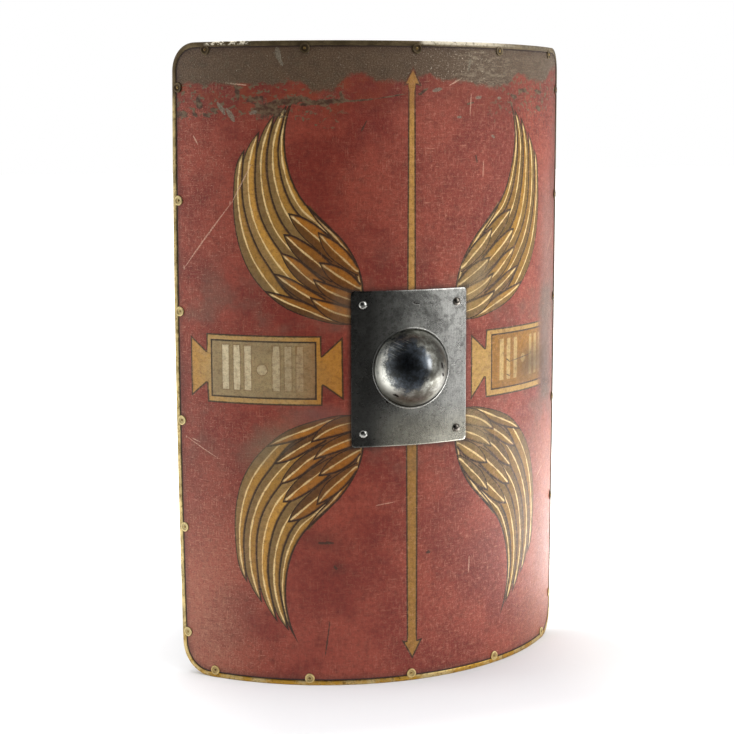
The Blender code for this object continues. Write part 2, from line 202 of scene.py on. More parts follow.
def plan(loops, lines, columns, rows):
    """A flat layout in millimetres cut into triangles along closed loops, open lines, columns and rows."""
    points, edges = [], []
    for chain, closed in [(loop, True) for loop in loops] + [(line, False) for line in lines]:
        first = len(points)
        points += [Vector((float(a), float(b))) for a, b in chain]
        last = len(chain) if closed else len(chain) - 1
        edges += [(first + step, first + (step + 1) % len(chain)) for step in range(last)]
    for s in columns:
        edges.append((len(points), len(points) + 1))
        points += [Vector((s, rows[0])), Vector((s, rows[-1]))]
    for z in rows:
        edges.append((len(points), len(points) + 1))
        points += [Vector((columns[0], z)), Vector((columns[-1], z))]
    corners, _, faces, *_ = delaunay_2d_cdt(points, edges, [], 0, 0.01)
    return np.array([tuple(c) for c in corners]), np.array([tuple(f) for f in faces])


def rim_edges(faces):
    """The edges that only one triangle has, as (start, end) in that triangle's order."""
    owners = {}
    for a, b, c in faces:
        for start, end in ((a, b), (b, c), (c, a)):
            owners.setdefault((min(start, end), max(start, end)), []).append((start, end))
    return [found[0] for found in owners.values() if len(found) == 1]


def nearest(places):
    """A lookup from a flat place to the key of the listed place that is there."""
    keys = list(places)
    tree = KDTree(len(keys))
    for number, key in enumerate(keys):
        tree.insert((*places[key], 0), number)
    tree.balance()
    return lambda place: keys[tree.find((*place, 0))[1]]


def spline(points, steps):
    """Points of a smooth curve through the given ones, which may stand close together or far apart."""
    points = [np.array(point, float) for point in points]
    gaps = [np.hypot(*(b - a)) for a, b in zip(points, points[1:])]
    slopes = [(b - a) / gap for a, b, gap in zip(points, points[1:], gaps)]
    turns = zip(slopes, slopes[1:], gaps, gaps[1:])
    middle = [(after * a + before * b) / (before + after) for a, b, before, after in turns]
    ways = [2 * slopes[0] - middle[0], *middle, 2 * slopes[-1] - middle[-1]]
    found = []
    for a, b, leave, arrive, gap in zip(points, points[1:], ways, ways[1:], gaps):
        for t in np.arange(steps) / steps:
            bend = leave * t * (1 - t) ** 2 - arrive * t * t * (1 - t)
            found.append(tuple(a + (b - a) * t * t * (3 - 2 * t) + bend * gap))
    return found + [tuple(points[-1])]


# Material graphs
def linear(red, green, blue):
    """A colour from its 0..255 screen values."""
    shares = (red / 255, green / 255, blue / 255)
    return tuple(v / 12.92 if v <= 0.04 else ((v + 0.055) / 1.055) ** 2.4 for v in shares)


class Signal:
    """A shader node's output. Arithmetic on it adds the nodes that work out the result."""

    def __init__(self, graph, socket):
        self.graph, self.socket = graph, socket

    def __add__(self, other):
        return self.graph.math("ADD", self, other)

    def __sub__(self, other):
        return self.graph.math("SUBTRACT", self, other) if isinstance(other, Signal) else self + -other

    def __rsub__(self, other):
        return self.graph.math("SUBTRACT", other, self)

    def __mul__(self, other):
        return self.graph.math("MULTIPLY", self, other)

    def __truediv__(self, other):
        return self.graph.math("DIVIDE", self, other)

    def __abs__(self):
        return self.graph.math("ABSOLUTE", self)

    def fit(self, low, high, to_low=0.0, to_high=1.0, smooth=True):
        """The value spread from low..high to to_low..to_high, and held at the ends."""
        kind = "SMOOTHSTEP" if smooth else "LINEAR"
        inputs = {"Value": self, "From Min": low, "From Max": high, "To Min": to_low, "To Max": to_high}
        return self.graph.node("MapRange", inputs, interpolation_type=kind)

    def vector(self, operation, other=(0, 0, 0), out="Vector"):
        return self.graph.node("VectorMath", {0: self, 1: other}, out=out, operation=operation)

    def scaled(self, x, y, z=1.0):
        return self.vector("MULTIPLY", (x, y, z))

    def seen_from(self, *place):
        return self.vector("SUBTRACT", place)

    def length(self):
        return self.vector("LENGTH", out="Value")

    def split(self):
        made = self.graph.tree.nodes.new("ShaderNodeSeparateXYZ")
        self.graph.put(made.inputs[0], self)
        return [Signal(self.graph, socket) for socket in made.outputs]

    def noise(self, scale, detail=3.0, rough=0.55, warp=0.0, out=0):
        inputs = {"Vector": self, "Scale": scale, "Detail": detail, "Roughness": rough, "Distortion": warp}
        return self.graph.node("TexNoise", inputs, out=out)

    def mark(self, start, end, half, soft=0.5):
        """1 on a stroke between two places and 0 off it."""
        across, up = end[0] - start[0], end[1] - start[1]
        made = self.graph.tree.nodes.new("ShaderNodeMapping")
        made.vector_type = "TEXTURE"
        self.graph.put(made.inputs["Vector"], self)
        made.inputs["Location"].default_value = ((start[0] + end[0]) / 2, (start[1] + end[1]) / 2, 0)
        made.inputs["Rotation"].default_value = (0, 0, math.atan2(up, across))
        made.inputs["Scale"].default_value = (math.hypot(across, up) / 2 + half, half, 1)
        return Signal(self.graph, made.outputs[0]).length().fit(1 - soft, 1, 1, 0)


def most(best, *others):
    """The largest of some signals."""
    for other in others:
        best = best.graph.math("MAXIMUM", best, other)
    return best


class Graph:
    """A short way to write the nodes of a material or a world."""

    def __init__(self, owner):
        self.owner = owner
        owner.use_nodes = True
        self.tree = owner.node_tree

    def node(self, kind, inputs=(), out=0, **settings):
        made = self.tree.nodes.new("ShaderNode" + kind)
        for key, value in settings.items():
            setattr(made, key, value)
        for key, value in dict(inputs).items():
            self.put(made.inputs[key], value)
        return Signal(self, made.outputs[out])

    def put(self, socket, value):
        if isinstance(value, Signal):
            self.tree.links.new(value.socket, socket)
        elif isinstance(value, tuple) and socket.type == "RGBA":
            socket.default_value = (*value, 1)
        else:
            socket.default_value = value

    def math(self, operation, a, b=0.0):
        return self.node("Math", {0: a, 1: b}, operation=operation)

    def mix(self, share, a, b):
        return self.node("Mix", {0: share, 6: a, 7: b}, out=2, data_type="RGBA")

    def coat(self, colour, share, tone):
        """A tone, in screen values, laid over a colour."""
        return self.mix(share, colour, linear(*tone))

    def tones(self, share, first, second):
        """A blend of two tones, in screen values."""
        return self.mix(share, linear(*first), linear(*second))

    def ramp(self, value, stops, interpolation="LINEAR"):
        """The level that (place, level) stops give at a value from 0 to 1."""
        made = self.tree.nodes.new("ShaderNodeValToRGB")
        self.put(made.inputs[0], value)
        made.color_ramp.interpolation = interpolation
        marks = made.color_ramp.elements
        while len(marks) < len(stops):
            marks.new(0.5)
        for mark, (place, level) in zip(marks, stops):
            mark.position = place
            mark.color = (level, level, level, 1)
        return Signal(self, made.outputs[0])

    def carried(self, name, out="Vector"):
        """What the mesh carries under a name."""
        return self.node("Attribute", out=out, attribute_name=name)

    def bump(self, height, strength, distance, **normal):
        return self.node("Bump", {"Height": height, "Strength": strength, "Distance": distance, **normal})

    def finish(self, **sockets):
        for name, value in sockets.items():
            self.put(self.tree.nodes["Principled BSDF"].inputs[name.replace("_", " ")], value)
        return self.owner


def material_graph(name):
    return Graph(bpy.data.materials.new(name))


# Camera
AZIMUTH, ELEVATION, ROLL = math.radians(-20.005), math.radians(8.393), math.radians(-0.154)
DISTANCE = 2.6866
TARGET = Vector((-0.040, 0.03088, 0.5126))
FOCAL_PIXELS, PICTURE = 1618.05, 734
SENSOR = 36


def make_camera():
    level = math.cos(ELEVATION)
    back = Vector((math.sin(AZIMUTH) * level, -math.cos(AZIMUTH) * level, math.sin(ELEVATION)))
    right = Vector((math.cos(AZIMUTH), math.sin(AZIMUTH), 0))
    up = back.cross(right)
    rolled = right * math.cos(ROLL) + up * math.sin(ROLL)
    upright = up * math.cos(ROLL) - right * math.sin(ROLL)
    data = bpy.data.cameras.new("camera")
    data.sensor_width = SENSOR
    data.lens = FOCAL_PIXELS / PICTURE * SENSOR
    data.clip_end = 100
    camera = add_object("camera", data)
    turned_round = Matrix((rolled, upright, back)).transposed().to_4x4()
    camera.matrix_world = Matrix.Translation(TARGET + back * DISTANCE) @ turned_round
    bpy.context.scene.camera = camera


# The painted design, in millimetres. A wing is drawn once, as (across from the crown, up or down from the
# boss). Each feather is an outer side and an inner side, from its root to its tip, painted in this order.
WING_BODY = [
    (84, 74), (120, 73), (150, 79), (200, 97), (225, 113), (240, 130), (230, 165), (212, 195), (197, 225),
    (182, 252), (165, 262), (143, 236), (115, 210), (96, 182), (83, 150), (79, 120),
]
FEATHERS = [
    ("primary", [(135, 205), (162, 229), (184, 247), (200, 275), (207, 405), (183, 453)],
     [(120, 215), (148, 243), (172, 266), (203, 378), (183, 453)]),
    ("primary", [(150, 175), (178, 198), (200, 220), (232, 352), (215, 412), (199, 432)],
     [(135, 205), (160, 230), (182, 249), (213, 340), (202, 416), (199, 432)]),
    ("primary", [(170, 145), (193, 166), (233, 215), (253, 320), (238, 388), (218, 418)],
     [(150, 175), (175, 198), (198, 220), (232, 320), (221, 402), (218, 418)]),
    ("primary", [(185, 115), (264, 223), (261, 364), (244, 387)],
     [(165, 140), (190, 165), (243, 245), (246, 370), (244, 387)]),
    ("primary", [(200, 96), (262, 153), (290, 285), (279, 340), (269, 355)],
     [(180, 108), (205, 130), (226, 160), (246, 190), (271, 262), (270, 343), (269, 355)]),
    ("covert", [(88, 118), (93, 150), (132, 212), (155, 238), (174, 267)],
     [(79, 118), (83, 150), (115, 210), (143, 236), (174, 267)]),
    ("covert", [(130, 172), (155, 192), (192, 232), (200, 250)],
     [(118, 198), (142, 222), (184, 247), (200, 250)]),
    ("covert", [(130, 140), (160, 158), (200, 198), (208, 217)],
     [(130, 170), (178, 208), (192, 215), (208, 217)]),
    ("covert", [(140, 118), (202, 165), (213, 188)],
     [(140, 142), (160, 158), (182, 176), (213, 188)]),
    ("covert", [(140, 95), (168, 106), (213, 139), (224, 155)],
     [(140, 115), (165, 130), (206, 151), (224, 155)]),
    ("covert", [(88, 74), (120, 73), (150, 79), (225, 113), (239, 127)],
     [(88, 84), (120, 84), (168, 108), (239, 127)]),
    ("inner", [(88, 150), (116, 166), (140, 187), (153, 221)],
     [(88, 165), (130, 210), (153, 221)]),
    ("inner", [(85, 124), (138, 150), (151, 173)],
     [(84, 138), (100, 155), (151, 173)]),
    ("inner", [(88, 98), (122, 108), (145, 122), (161, 147)],
     [(88, 122), (116, 132), (161, 147)]),
    ("inner", [(88, 72), (148, 92), (166, 118)],
     [(88, 98), (118, 106), (166, 118)]),
]
# Side, up or down, lean of the long feathers, more lean at their tips, how much shorter they are, and shade
WINGS = [(-1, -1, 4.5, 0, 0, 1), (-1, 1, -1, 0, 13, 1), (1, -1, 0, 0, 8, 0.86), (1, 1, 5, 7, 20, 1)]
TONES = {  # (outer half, inner half) of a feather, on the left and on the right of the shield
    ("primary", -1): ((134, 106, 60), (174, 128, 52)),
    ("primary", 1): ((112, 86, 28), (146, 106, 22)),
    ("covert", -1): ((86, 57, 20), (162, 103, 28)),
    ("covert", 1): ((114, 88, 38), (146, 108, 32)),
    ("inner", -1): ((92, 60, 18), (176, 110, 26)),
    ("inner", 1): ((122, 98, 56), (152, 120, 60)),
}
BODY_TONES = {-1: (84, 58, 30), 1: (120, 92, 58)}
CURVE_STEPS = 8
STROKE_EDGE, FLAT_WIDTH = 1.6, 50.0  # soft edge of a bar, and what stands for the width of a flat patch

LEFT_TABLET = [
    (-373, 472), (-342, 497), (-341, 465), (-146, 465), (-145, 498), (-112, 474), (-113, 577), (-147, 546),
    (-147, 578), (-342, 578), (-342, 549), (-373, 573),
]
RIGHT_TABLET = [
    (372, 572), (342, 549), (340, 576), (145, 576), (143, 545), (112, 571), (112, 461), (143, 497),
    (145, 462), (340, 462), (342, 497), (372, 474),
]
GREY, GOLD, CREAM, PALE_GREY = (134, 112, 76), (146, 100, 22), (188, 158, 98), (212, 196, 158)
# Bars of the tablets, as (from, to), and at the left how far each is worn away
LEFT_BARS = [
    (-314, -300, 0), (-294, -280, 0), (-275, -261, 0.1), (-228, -213, 0.36), (-208, -194, 0.5),
    (-189, -175, 0.6),
]
LEFT_BARS_UP, RIGHT_BARS_UP = (487, 562), (486, 558)
RIGHT_BARS = [(177, 190), (195, 208), (215, 228), (264, 276), (282, 295), (300, 311)]
ARROW_TOP = [(-8, 640), (7.5, 640), (6.5, 972), (17, 970), (2, 1001), (-15, 970), (-6.5, 972)]
ARROW_FOOT = [(-10, 410), (-8, 68), (-17, 70), (2, 36), (20, 70), (10.5, 68), (11, 410)]

# Marks in the paint, as (from, to, half width). Chips show pale ground, stains are dark.
SCRATCHES = [
    ((-382, 683), (-296, 784), 1.3), ((-292, 788), (-258, 848), 1.1), ((135, 826), (136, 852), 1.0),
    ((342, 692), (378, 728), 0.9), ((110, 170), (111, 196), 1.1), ((67, 972), (91, 984), 1.2),
    ((107, 925), (109, 958), 0.9), ((-300, 976), (-264, 972), 1.2),
    ((-384, 403), (-326, 374), 0.8), ((-374, 402), (-358, 397), 0.8),
    ((-60, 300), (-30, 304), 0.8), ((300, 300), (330, 318), 0.9), ((-360, 893), (-352, 880), 1.3),
]
CHIPS = [
    ((-213, 1026), (-211, 1014), 4.2), ((-210, 1012), (-206, 1004), 2.6), ((-313, 943), (-303, 930), 3.6),
    ((-297, 933), (-287, 919), 4.2), ((-257, 928), (-249, 931), 2.6), ((38, 963), (50, 966), 3.0),
    ((121, 953), (128, 954), 2.8), ((83, 922), (88, 922), 2.2), ((169, 953), (173, 953), 2.4),
    ((103, 996), (107, 1012), 2.0), ((155, 892), (160, 890), 2.2), ((-346, 1034), (-338, 1030), 2.0),
]
STAINS = [
    ((-240, 934), (-216, 932), 12.0), ((-222, 944), (-172, 950), 6.5), ((-178, 942), (-104, 948), 4.5),
    ((-108, 946), (-60, 950), 1.6), ((-60, 950), (-10, 958), 1.0), ((-262, 948), (-240, 952), 4.5),
    ((-281, 968), (-279, 955), 4.5), ((-350, 950), (-347, 940), 5.5), ((-323, 935), (-318, 931), 4.5),
    ((-338, 927), (-332, 925), 3.5), ((-360, 928), (-353, 925), 3.5), ((-394, 928), (-374, 927), 6.0),
    ((-114, 958), (-113, 948), 3.5), ((12, 957), (26, 966), 2.4), ((102, 943), (114, 945), 1.8),
    ((203, 958), (214, 955), 4.0), ((222, 967), (246, 965), 3.4), ((278, 966), (300, 964), 3.6),
    ((284, 938), (297, 935), 4.0), ((-152, 240), (-132, 240), 2.4), ((-137, 104), (-144, 52), 1.4),
    ((28, 215), (33, 215), 2.6), ((-129, 200), (-126, 197), 2.6), ((-82, 901), (-74, 916), 1.4),
    ((120, 860), (122, 850), 1.8), ((196, 522), (206, 516), 1.0), ((206, 517), (270, 523), 0.7),
    ((197, 496), (206, 492), 0.9),
]


class Patch:
    """A closed region of paint. Its sides give each corner its place across the stroke.

    The inner side is a line of points, or one distance for the whole patch, or None for a flat patch.
    """

    def __init__(self, outline, outer, inner, outer_tone, inner_tone, line, shine):
        self.outline, self.outer, self.inner = outline, outer, inner
        self.tones = linear(*outer_tone), linear(*inner_tone)
        self.line, self.shine = line, shine


def smooth_step(value, low, high):
    share = min(max((value - low) / (high - low), 0), 1)
    return share * share * (3 - 2 * share)


def wing_patches():
    patches = []
    for side, up, lean, tip_lean, cut, shade in WINGS:
        def place(point):
            u, v = point
            out = lean * smooth_step(v, 110, 210) + tip_lean * smooth_step(v, 300, 440)
            return side * (u + out), BOSS_UP + up * (v - cut * smooth_step(v, 290, 450))

        body = [place(point) for point in WING_BODY]
        patches.append(Patch(body, body + body[:1], None, BODY_TONES[side], BODY_TONES[side], 0, 0))
        for number, (kind, outer, inner) in enumerate(FEATHERS):
            outer = [place(point) for point in spline(outer, CURVE_STEPS)]
            inner = [place(point) for point in spline(inner, CURVE_STEPS)]
            shift = shade * (1 + 0.10 * math.sin(number * 2.3 + side + 2 * up))
            tones = [tuple(min(255, value * shift) for value in tone) for tone in TONES[kind, side]]
            patches.append(Patch(outer + inner[::-1][1:], outer, inner, *tones, 1, 1))
    return patches


def flat_patch(outline, tone, shine=0):
    """A region of one tone inside a dark line."""
    return Patch(outline, list(outline) + [outline[0]], None, tone, tone, 1, shine)


def stroke_patch(outline, under, over):
    """A soft-edged stroke of one tone over another."""
    return Patch(outline, list(outline) + [outline[0]], STROKE_EDGE, under, over, 0, 0)


def box_loop(left, bottom, right, top):
    return [(left, bottom), (right, bottom), (right, top), (left, top)]


def tablet_patches():
    patches = [
        flat_patch(LEFT_TABLET, (182, 134, 56)), flat_patch(RIGHT_TABLET, (182, 144, 76)),
        flat_patch(box_loop(-334, 475, -155, 569), GREY), flat_patch(box_loop(157, 473, 328, 567), GOLD),
    ]
    low, high = LEFT_BARS_UP
    for left, right, worn in LEFT_BARS:
        tone = tuple(a + (b - a) * worn for a, b in zip(PALE_GREY, GREY))
        patches.append(stroke_patch(box_loop(left, low, right, high), GREY, tone))
    low, high = RIGHT_BARS_UP
    for left, right in RIGHT_BARS:
        patches.append(stroke_patch(box_loop(left, low, right, high), GOLD, CREAM))
    patches.append(stroke_patch(arc((-244, 522), 10, 0, 345, 23), GREY, (184, 166, 128)))
    patches.append(stroke_patch(arc((245, 519), 9, 0, 345, 23), GOLD, (190, 158, 96)))
    return patches


def arrow_patches():
    """The arrow, whose shine of -1 lets it lie over the tarnish."""
    return [flat_patch(ARROW_TOP, (184, 136, 64), -1), flat_patch(ARROW_FOOT, (150, 108, 44), -1)]


def inset_loop(loop, distance):
    """The loop moved inwards by a distance, closed by its first point."""
    area = sum(a[0] * b[1] - b[0] * a[1] for a, b in zip(loop, loop[1:] + loop[:1]))
    turn = 1 if area > 0 else -1
    moved = []
    for before, here, after in zip(loop[-1:] + loop[:-1], loop, loop[1:] + loop[:1]):
        ways = []
        for a, b in ((before, here), (here, after)):
            size = math.hypot(b[0] - a[0], b[1] - a[1])
            ways.append((-(b[1] - a[1]) / size * turn, (b[0] - a[0]) / size * turn))
        (a, b), (c, d) = ways
        reach = distance / max(1 + a * c + b * d, 0.25)
        moved.append((here[0] + (a + c) * reach, here[1] + (b + d) * reach))
    return moved + moved[:1]


def mark_frame(start, end, half):
    """Middle, way along, half length and half width of a mark."""
    start, end = np.array(start, float), np.array(end, float)
    span = np.hypot(*(end - start))
    return (start + end) / 2, (end - start) / span, span / 2 + half, half


def mark_rings(marks, steps=14):
    """Outlines near the middle of each mark, at its edge and well outside it, for the mesh to follow."""
    rings = []
    turns = [2 * math.pi * step / steps for step in range(steps + 1)]
    for mark in marks:
        middle, way, long, wide = mark_frame(*mark)
        across = np.array((-way[1], way[0]))
        for size in (0.12, 1, 2):
            reach = long + wide * (size - 1)
            rings.append([
                tuple(middle + way * reach * math.cos(turn) + across * wide * size * math.sin(turn))
                for turn in turns
            ])
    return rings


def mark_level(points, marks):
    """1 in the middle of a mark, a half at its edge and 0 well outside it, at each point."""
    best = np.zeros(len(points))
    for mark in marks:
        middle, way, long, wide = mark_frame(*mark)
        gap = points - middle
        along = np.abs(gap @ way)
        aside = np.abs(gap @ np.array((-way[1], way[0])))
        # the size of the mark that would pass through each point, corrected step by step
        size = np.ones(len(points)) * 0.5
        for _ in range(24):
            reach = (along / np.maximum(long + wide * (size - 1), 1e-6)) ** 2 + (aside / (wide * size)) ** 2
            size = np.clip(size * np.sqrt(np.sqrt(reach)), 1e-3, 4)
        best = np.maximum(best, 1 - size / 2)
    return np.clip(best, 0, 1)


# The painted face
FACE_EDGE = 0.0011  # how far inside the rim the facing ends
GUIDE_INSETS = (0.008, 0.011, 0.016)
FACE_COLUMNS, BACK_COLUMNS = 144, 72
FACE_ROW, FACE_ROWS = 22.0, 49
OUTLINE_BAND = 3.2


def face_plan(patches, drills):
    """The front cut along everything painted on it: corners, the triangles kept, and their middles."""
    rows = [FACE_ROW * step - BEYOND_RIM for step in range(FACE_ROWS)]
    edge = rim_in_mm(FACE_EDGE)
    hole = arc((0, BOSS_UP), HAND_HOLE / MM, 0, 360, 96)[:-1]
    lines = []
    for inset in GUIDE_INSETS:
        loop = rim_in_mm(inset, 8, 30)
        lines.append(loop + loop[:1])
    lines += mark_rings(STAINS + CHIPS + SCRATCHES)
    for patch in patches:
        if isinstance(patch.inner, list):
            lines.append([((a + c) / 2, (b + d) / 2) for (a, b), (c, d) in zip(patch.outer, patch.inner)])
        elif patch.line or patch.inner:
            lines.append(inset_loop(patch.outline, OUTLINE_BAND))
    loops = [edge, hole] + drills + [patch.outline for patch in patches]
    corners, faces = plan(loops, lines, columns_across(FACE_COLUMNS), rows)
    middles = corners[faces].mean(1)
    kept = between(middles, edge, [hole] + drills)
    return corners, faces[kept], middles[kept]


def back_plan(corners, faces):
    """A coarser cut of the same layout, with the same corners round its edges."""
    following = dict(rim_edges(faces))
    loops = []
    while following:
        start, here = following.popitem()
        loop = [start]
        while here != start:
            loop.append(here)
            here = following.pop(here)
        loops.append(corners[loop])
    loops.sort(key=len, reverse=True)
    rows = [-BEYOND_RIM, HEIGHT / MM + BEYOND_RIM]
    points, cuts = plan(loops, [], columns_across(BACK_COLUMNS), rows)
    return points, cuts[between(points[cuts].mean(1), loops[0], loops[1:])]


def paint_corners(patches, corners, faces, middles):
    """What each face's corners carry: place across a stroke, line and shine strengths, and two tones."""
    top = np.full(len(faces), -1)
    for number, patch in enumerate(patches):
        outline = np.array(patch.outline)
        near = ((middles >= outline.min(0)) & (middles <= outline.max(0))).all(1)
        index = np.flatnonzero(near)
        top[index[inside(middles[index], patch.outline)]] = number
    sides = np.zeros((len(faces), 3, 3))
    border = rim_in_mm(0)
    sides[..., 2] = away(corners, border + border[:1])[faces]
    strength = np.zeros((len(faces), 3, 3))
    tones = np.ones((2, len(faces), 3, 4))
    tones[..., :3] = 0
    for number, patch in enumerate(patches):
        mine = np.flatnonzero(top == number)
        spots = corners[faces[mine]].reshape(-1, 2)
        if isinstance(patch.inner, list):
            back = away(spots, patch.inner)
        else:
            back = np.full(len(spots), FLAT_WIDTH if patch.inner is None else patch.inner)
        sides[mine, :, :2] = np.stack([away(spots, patch.outer), back], 1).reshape(-1, 3, 2)
        strength[mine] = (1, patch.line, patch.shine)
        for which in (0, 1):
            tones[which][mine, :, :3] = patch.tones[which]
    return sides, strength, tones


def carry(data, name, kind, field, values):
    """Values for the corners of the front faces, which come first in the mesh, and blanks for the rest."""
    size = values.shape[-1]
    whole = np.ones if field == "color" else np.zeros
    whole = whole((len(data.loops), size), np.float32)
    whole[:values.size // size] = values.reshape(-1, size)
    data.attributes.new(name, kind, "CORNER").data.foreach_set(field, whole.ravel())


def facing_mesh(corners, faces):
    """The facing's front, back and edges, and the flat place of each vertex."""
    points, flat, found, sheets = [], [], [], []
    back_corners, back_faces = back_plan(corners, faces)
    skins = ((corners, faces, FACE, 1), (back_corners, back_faces, FACING_BACK, -1))
    for spots, cuts, radius, turn in skins:
        used = sorted(set(cuts.ravel()))
        number = {old: len(points) + new for new, old in enumerate(used)}
        points += [bent(spots[i][0] * MM, spots[i][1] * MM, radius) for i in used]
        flat += [tuple(spots[i]) for i in used]
        found += [tuple(number[i] for i in face[::turn]) for face in cuts]
        sheets.append(number)
    front, back = sheets
    behind = nearest({back[i]: back_corners[i] for i in back})
    for start, end in rim_edges(faces):
        found.append((front[end], front[start], behind(corners[start]), behind(corners[end])))
    data = bpy.data.meshes.new("painted_face")
    data.from_pydata(points, [], found)
    return data, np.array(flat)


def make_facing(material):
    patches = wing_patches() + tablet_patches() + arrow_patches()
    drills = [arc((s / MM, z / MM), NAIL_HOLE, 0, 288, 4) for _, s, z in lug_places()]
    drills += [arc((s / MM, z / MM), RIVET_HOLE, 0, 300, 5) for _, s, z in rivet_places()]
    corners, faces, middles = face_plan(patches, drills)
    sides, strength, tones = paint_corners(patches, corners, faces, middles)
    data, flat = facing_mesh(corners, faces)
    marks = np.stack([mark_level(corners, listed) for listed in (STAINS, CHIPS, SCRATCHES)], 1)[faces]
    for name, values in (("sides", sides), ("strength", strength), ("marks", marks)):
        carry(data, name, "FLOAT_VECTOR", "vector", values)
    for name, values in (("outer_tone", tones[0]), ("inner_tone", tones[1])):
        carry(data, name, "FLOAT_COLOR", "color", values)
    index = np.zeros(len(data.loops), np.int32)
    data.loops.foreach_get("vertex_index", index)
    places = (flat[index] * MM).astype(np.float32)
    data.uv_layers.new(name="flat").data.foreach_set("uv", places.ravel())
    data.materials.append(material)
    data.shade_smooth()
    data.set_sharp_from_angle(angle=math.radians(40))
    data.validate()
    made = add_object("painted_face", data)
    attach(made, "root")
    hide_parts("painted_facing")


# Edging
SIDE, CORNER_TOP, CORNER_ACROSS = 0.403, 0.0785, 0.3265  # where the corner pieces end, up and across
HEAD_JOINT, FOOT_JOINT = 0.0175, 0.0095
EDGING = [  # its pieces, anticlockwise: node, where it begins in the flat layout, and its lugs
    ("edging_bottom_right_corner", (CORNER_ACROSS, 0), ["right_1", "bottom_5"]),
    ("edging_right", (SIDE, CORNER_TOP), ["right_2", "right_3", "right_4", "right_5"]),
    ("edging_top_right_corner", (SIDE, HEIGHT - CORNER_TOP), ["right_6", "top_5"]),
    ("edging_top_right", (CORNER_ACROSS, HEIGHT), ["top_4"]),
    ("edging_top_left", (HEAD_JOINT, HEIGHT), ["top_2", "top_3"]),
    ("edging_top_left_corner", (-CORNER_ACROSS, HEIGHT), ["left_6", "top_1"]),
    ("edging_left", (-SIDE, HEIGHT - CORNER_TOP), ["left_2", "left_3", "left_4", "left_5"]),
    ("edging_bottom_left_corner", (-SIDE, CORNER_TOP), ["left_1", "bottom_1"]),
    ("edging_bottom_left", (-CORNER_ACROSS, 0), ["bottom_2", "bottom_3"]),
    ("edging_bottom_right", (FOOT_JOINT, 0), ["bottom_4"]),
]
EDGING_STEP, HALF_JOINT = 0.006, 0.00015
EDGING_CORNER, FOLD = 0.0017, 0.0008
DENT, DENTED_FROM, DENTED_DEPTH = 0.0003, 0.002, 0.0012  # how deep, and which part of the section has dents
LUG_SIDES, LUG_SIZE, LUG_LIFT = 28, 0.0082, 0.0001
LUG_PROFILE = [  # (radius, rise over the edging, dirt and painted shade), and then the underside
    (0.0, 0.0, 0.0), (0.0024, 0.0, 0.3), (0.0042, 0.00015, 1.0), (0.0053, 0.0005, 0.7),
    (0.0061, 0.00085, 0.0), (0.0069, 0.0009, 0.0), (0.0076, 0.0006, 0.0), (0.0080, 0.0001, 1.0),
    (0.0080, None, 1.0), (0.0, None, 0.0),
]


def rim_walk():
    """The rim's points, anticlockwise, and how far round it each of them is, with the whole way last."""
    loop = [Vector(point) for point in rim(0, 24, 60)]
    run = [0.0]
    for a, b in zip(loop, loop[1:] + loop[:1]):
        run.append(run[-1] + (b - a).length)
    return loop, run


def way_round(loop, run, point):
    """How far round the rim the place nearest to a point is."""
    best, place = 1e9, 0
    for index, (a, b) in enumerate(zip(loop, loop[1:] + loop[:1])):
        step = b - a
        if step.length == 0:
            continue
        share = min(max((Vector(point) - a).dot(step) / step.length_squared, 0), 1)
        gap = (a + step * share - Vector(point)).length
        if gap < best:
            best, place = gap, run[index] + step.length * share
    return place


def edging_path(start, end):
    """Evenly spaced (place, way in) along the rim from one end of a piece to the other."""
    loop, run = rim_walk()
    total = run[-1]
    first, last = way_round(loop, run, start), way_round(loop, run, end)
    if last < first:
        last += total
    first += HALF_JOINT
    last -= HALF_JOINT
    steps = max(2, math.ceil((last - first) / EDGING_STEP))
    path = []
    for step in range(steps + 1):
        place = (first + (last - first) * step / steps) % total
        index = max(i for i in range(len(loop)) if run[i] <= place + 1e-12)
        a, b = loop[index], loop[(index + 1) % len(loop)]
        share = (place - run[index]) / max((b - a).length, 1e-9)
        before, after = loop[index - 1], loop[(index + 2) % len(loop)]
        way = (b - before).normalized().lerp((after - a).normalized(), share).normalized()
        path.append((a.lerp(b, share), Vector((-way.y, way.x))))
    return path


def edging_section():
    """(inset from the rim, distance from the upright axis) round the channel's section."""
    front, back, corner = EDGING_FRONT, EDGING_BACK, EDGING_CORNER
    outer = [(LEG - 0.0002, front - 0.00035), (LEG - 0.0008, front - 0.00008), (LEG * 0.55, front)]
    outer += [(corner, front - 0.00005)]
    outer += [(corner * (1 - math.sin(t)), front - corner * (1 - math.cos(t))) for t in (0.4, 0.8, 1.2)]
    outer += [(0, front - corner), (0, (front + back) / 2), (0, back + corner)]
    outer += [(corner * (1 - math.cos(t)), back + corner * (1 - math.sin(t))) for t in (0.4, 0.8, 1.2)]
    outer += [(corner, back), (LEG, back)]
    inner = [(LEG, back + BRASS), (BRASS + FOLD, back + BRASS), (BRASS, back + BRASS + FOLD)]
    inner += [(BRASS, front - BRASS - FOLD), (BRASS + FOLD, front - BRASS), (LEG - 0.0001, front - BRASS)]
    return outer + inner


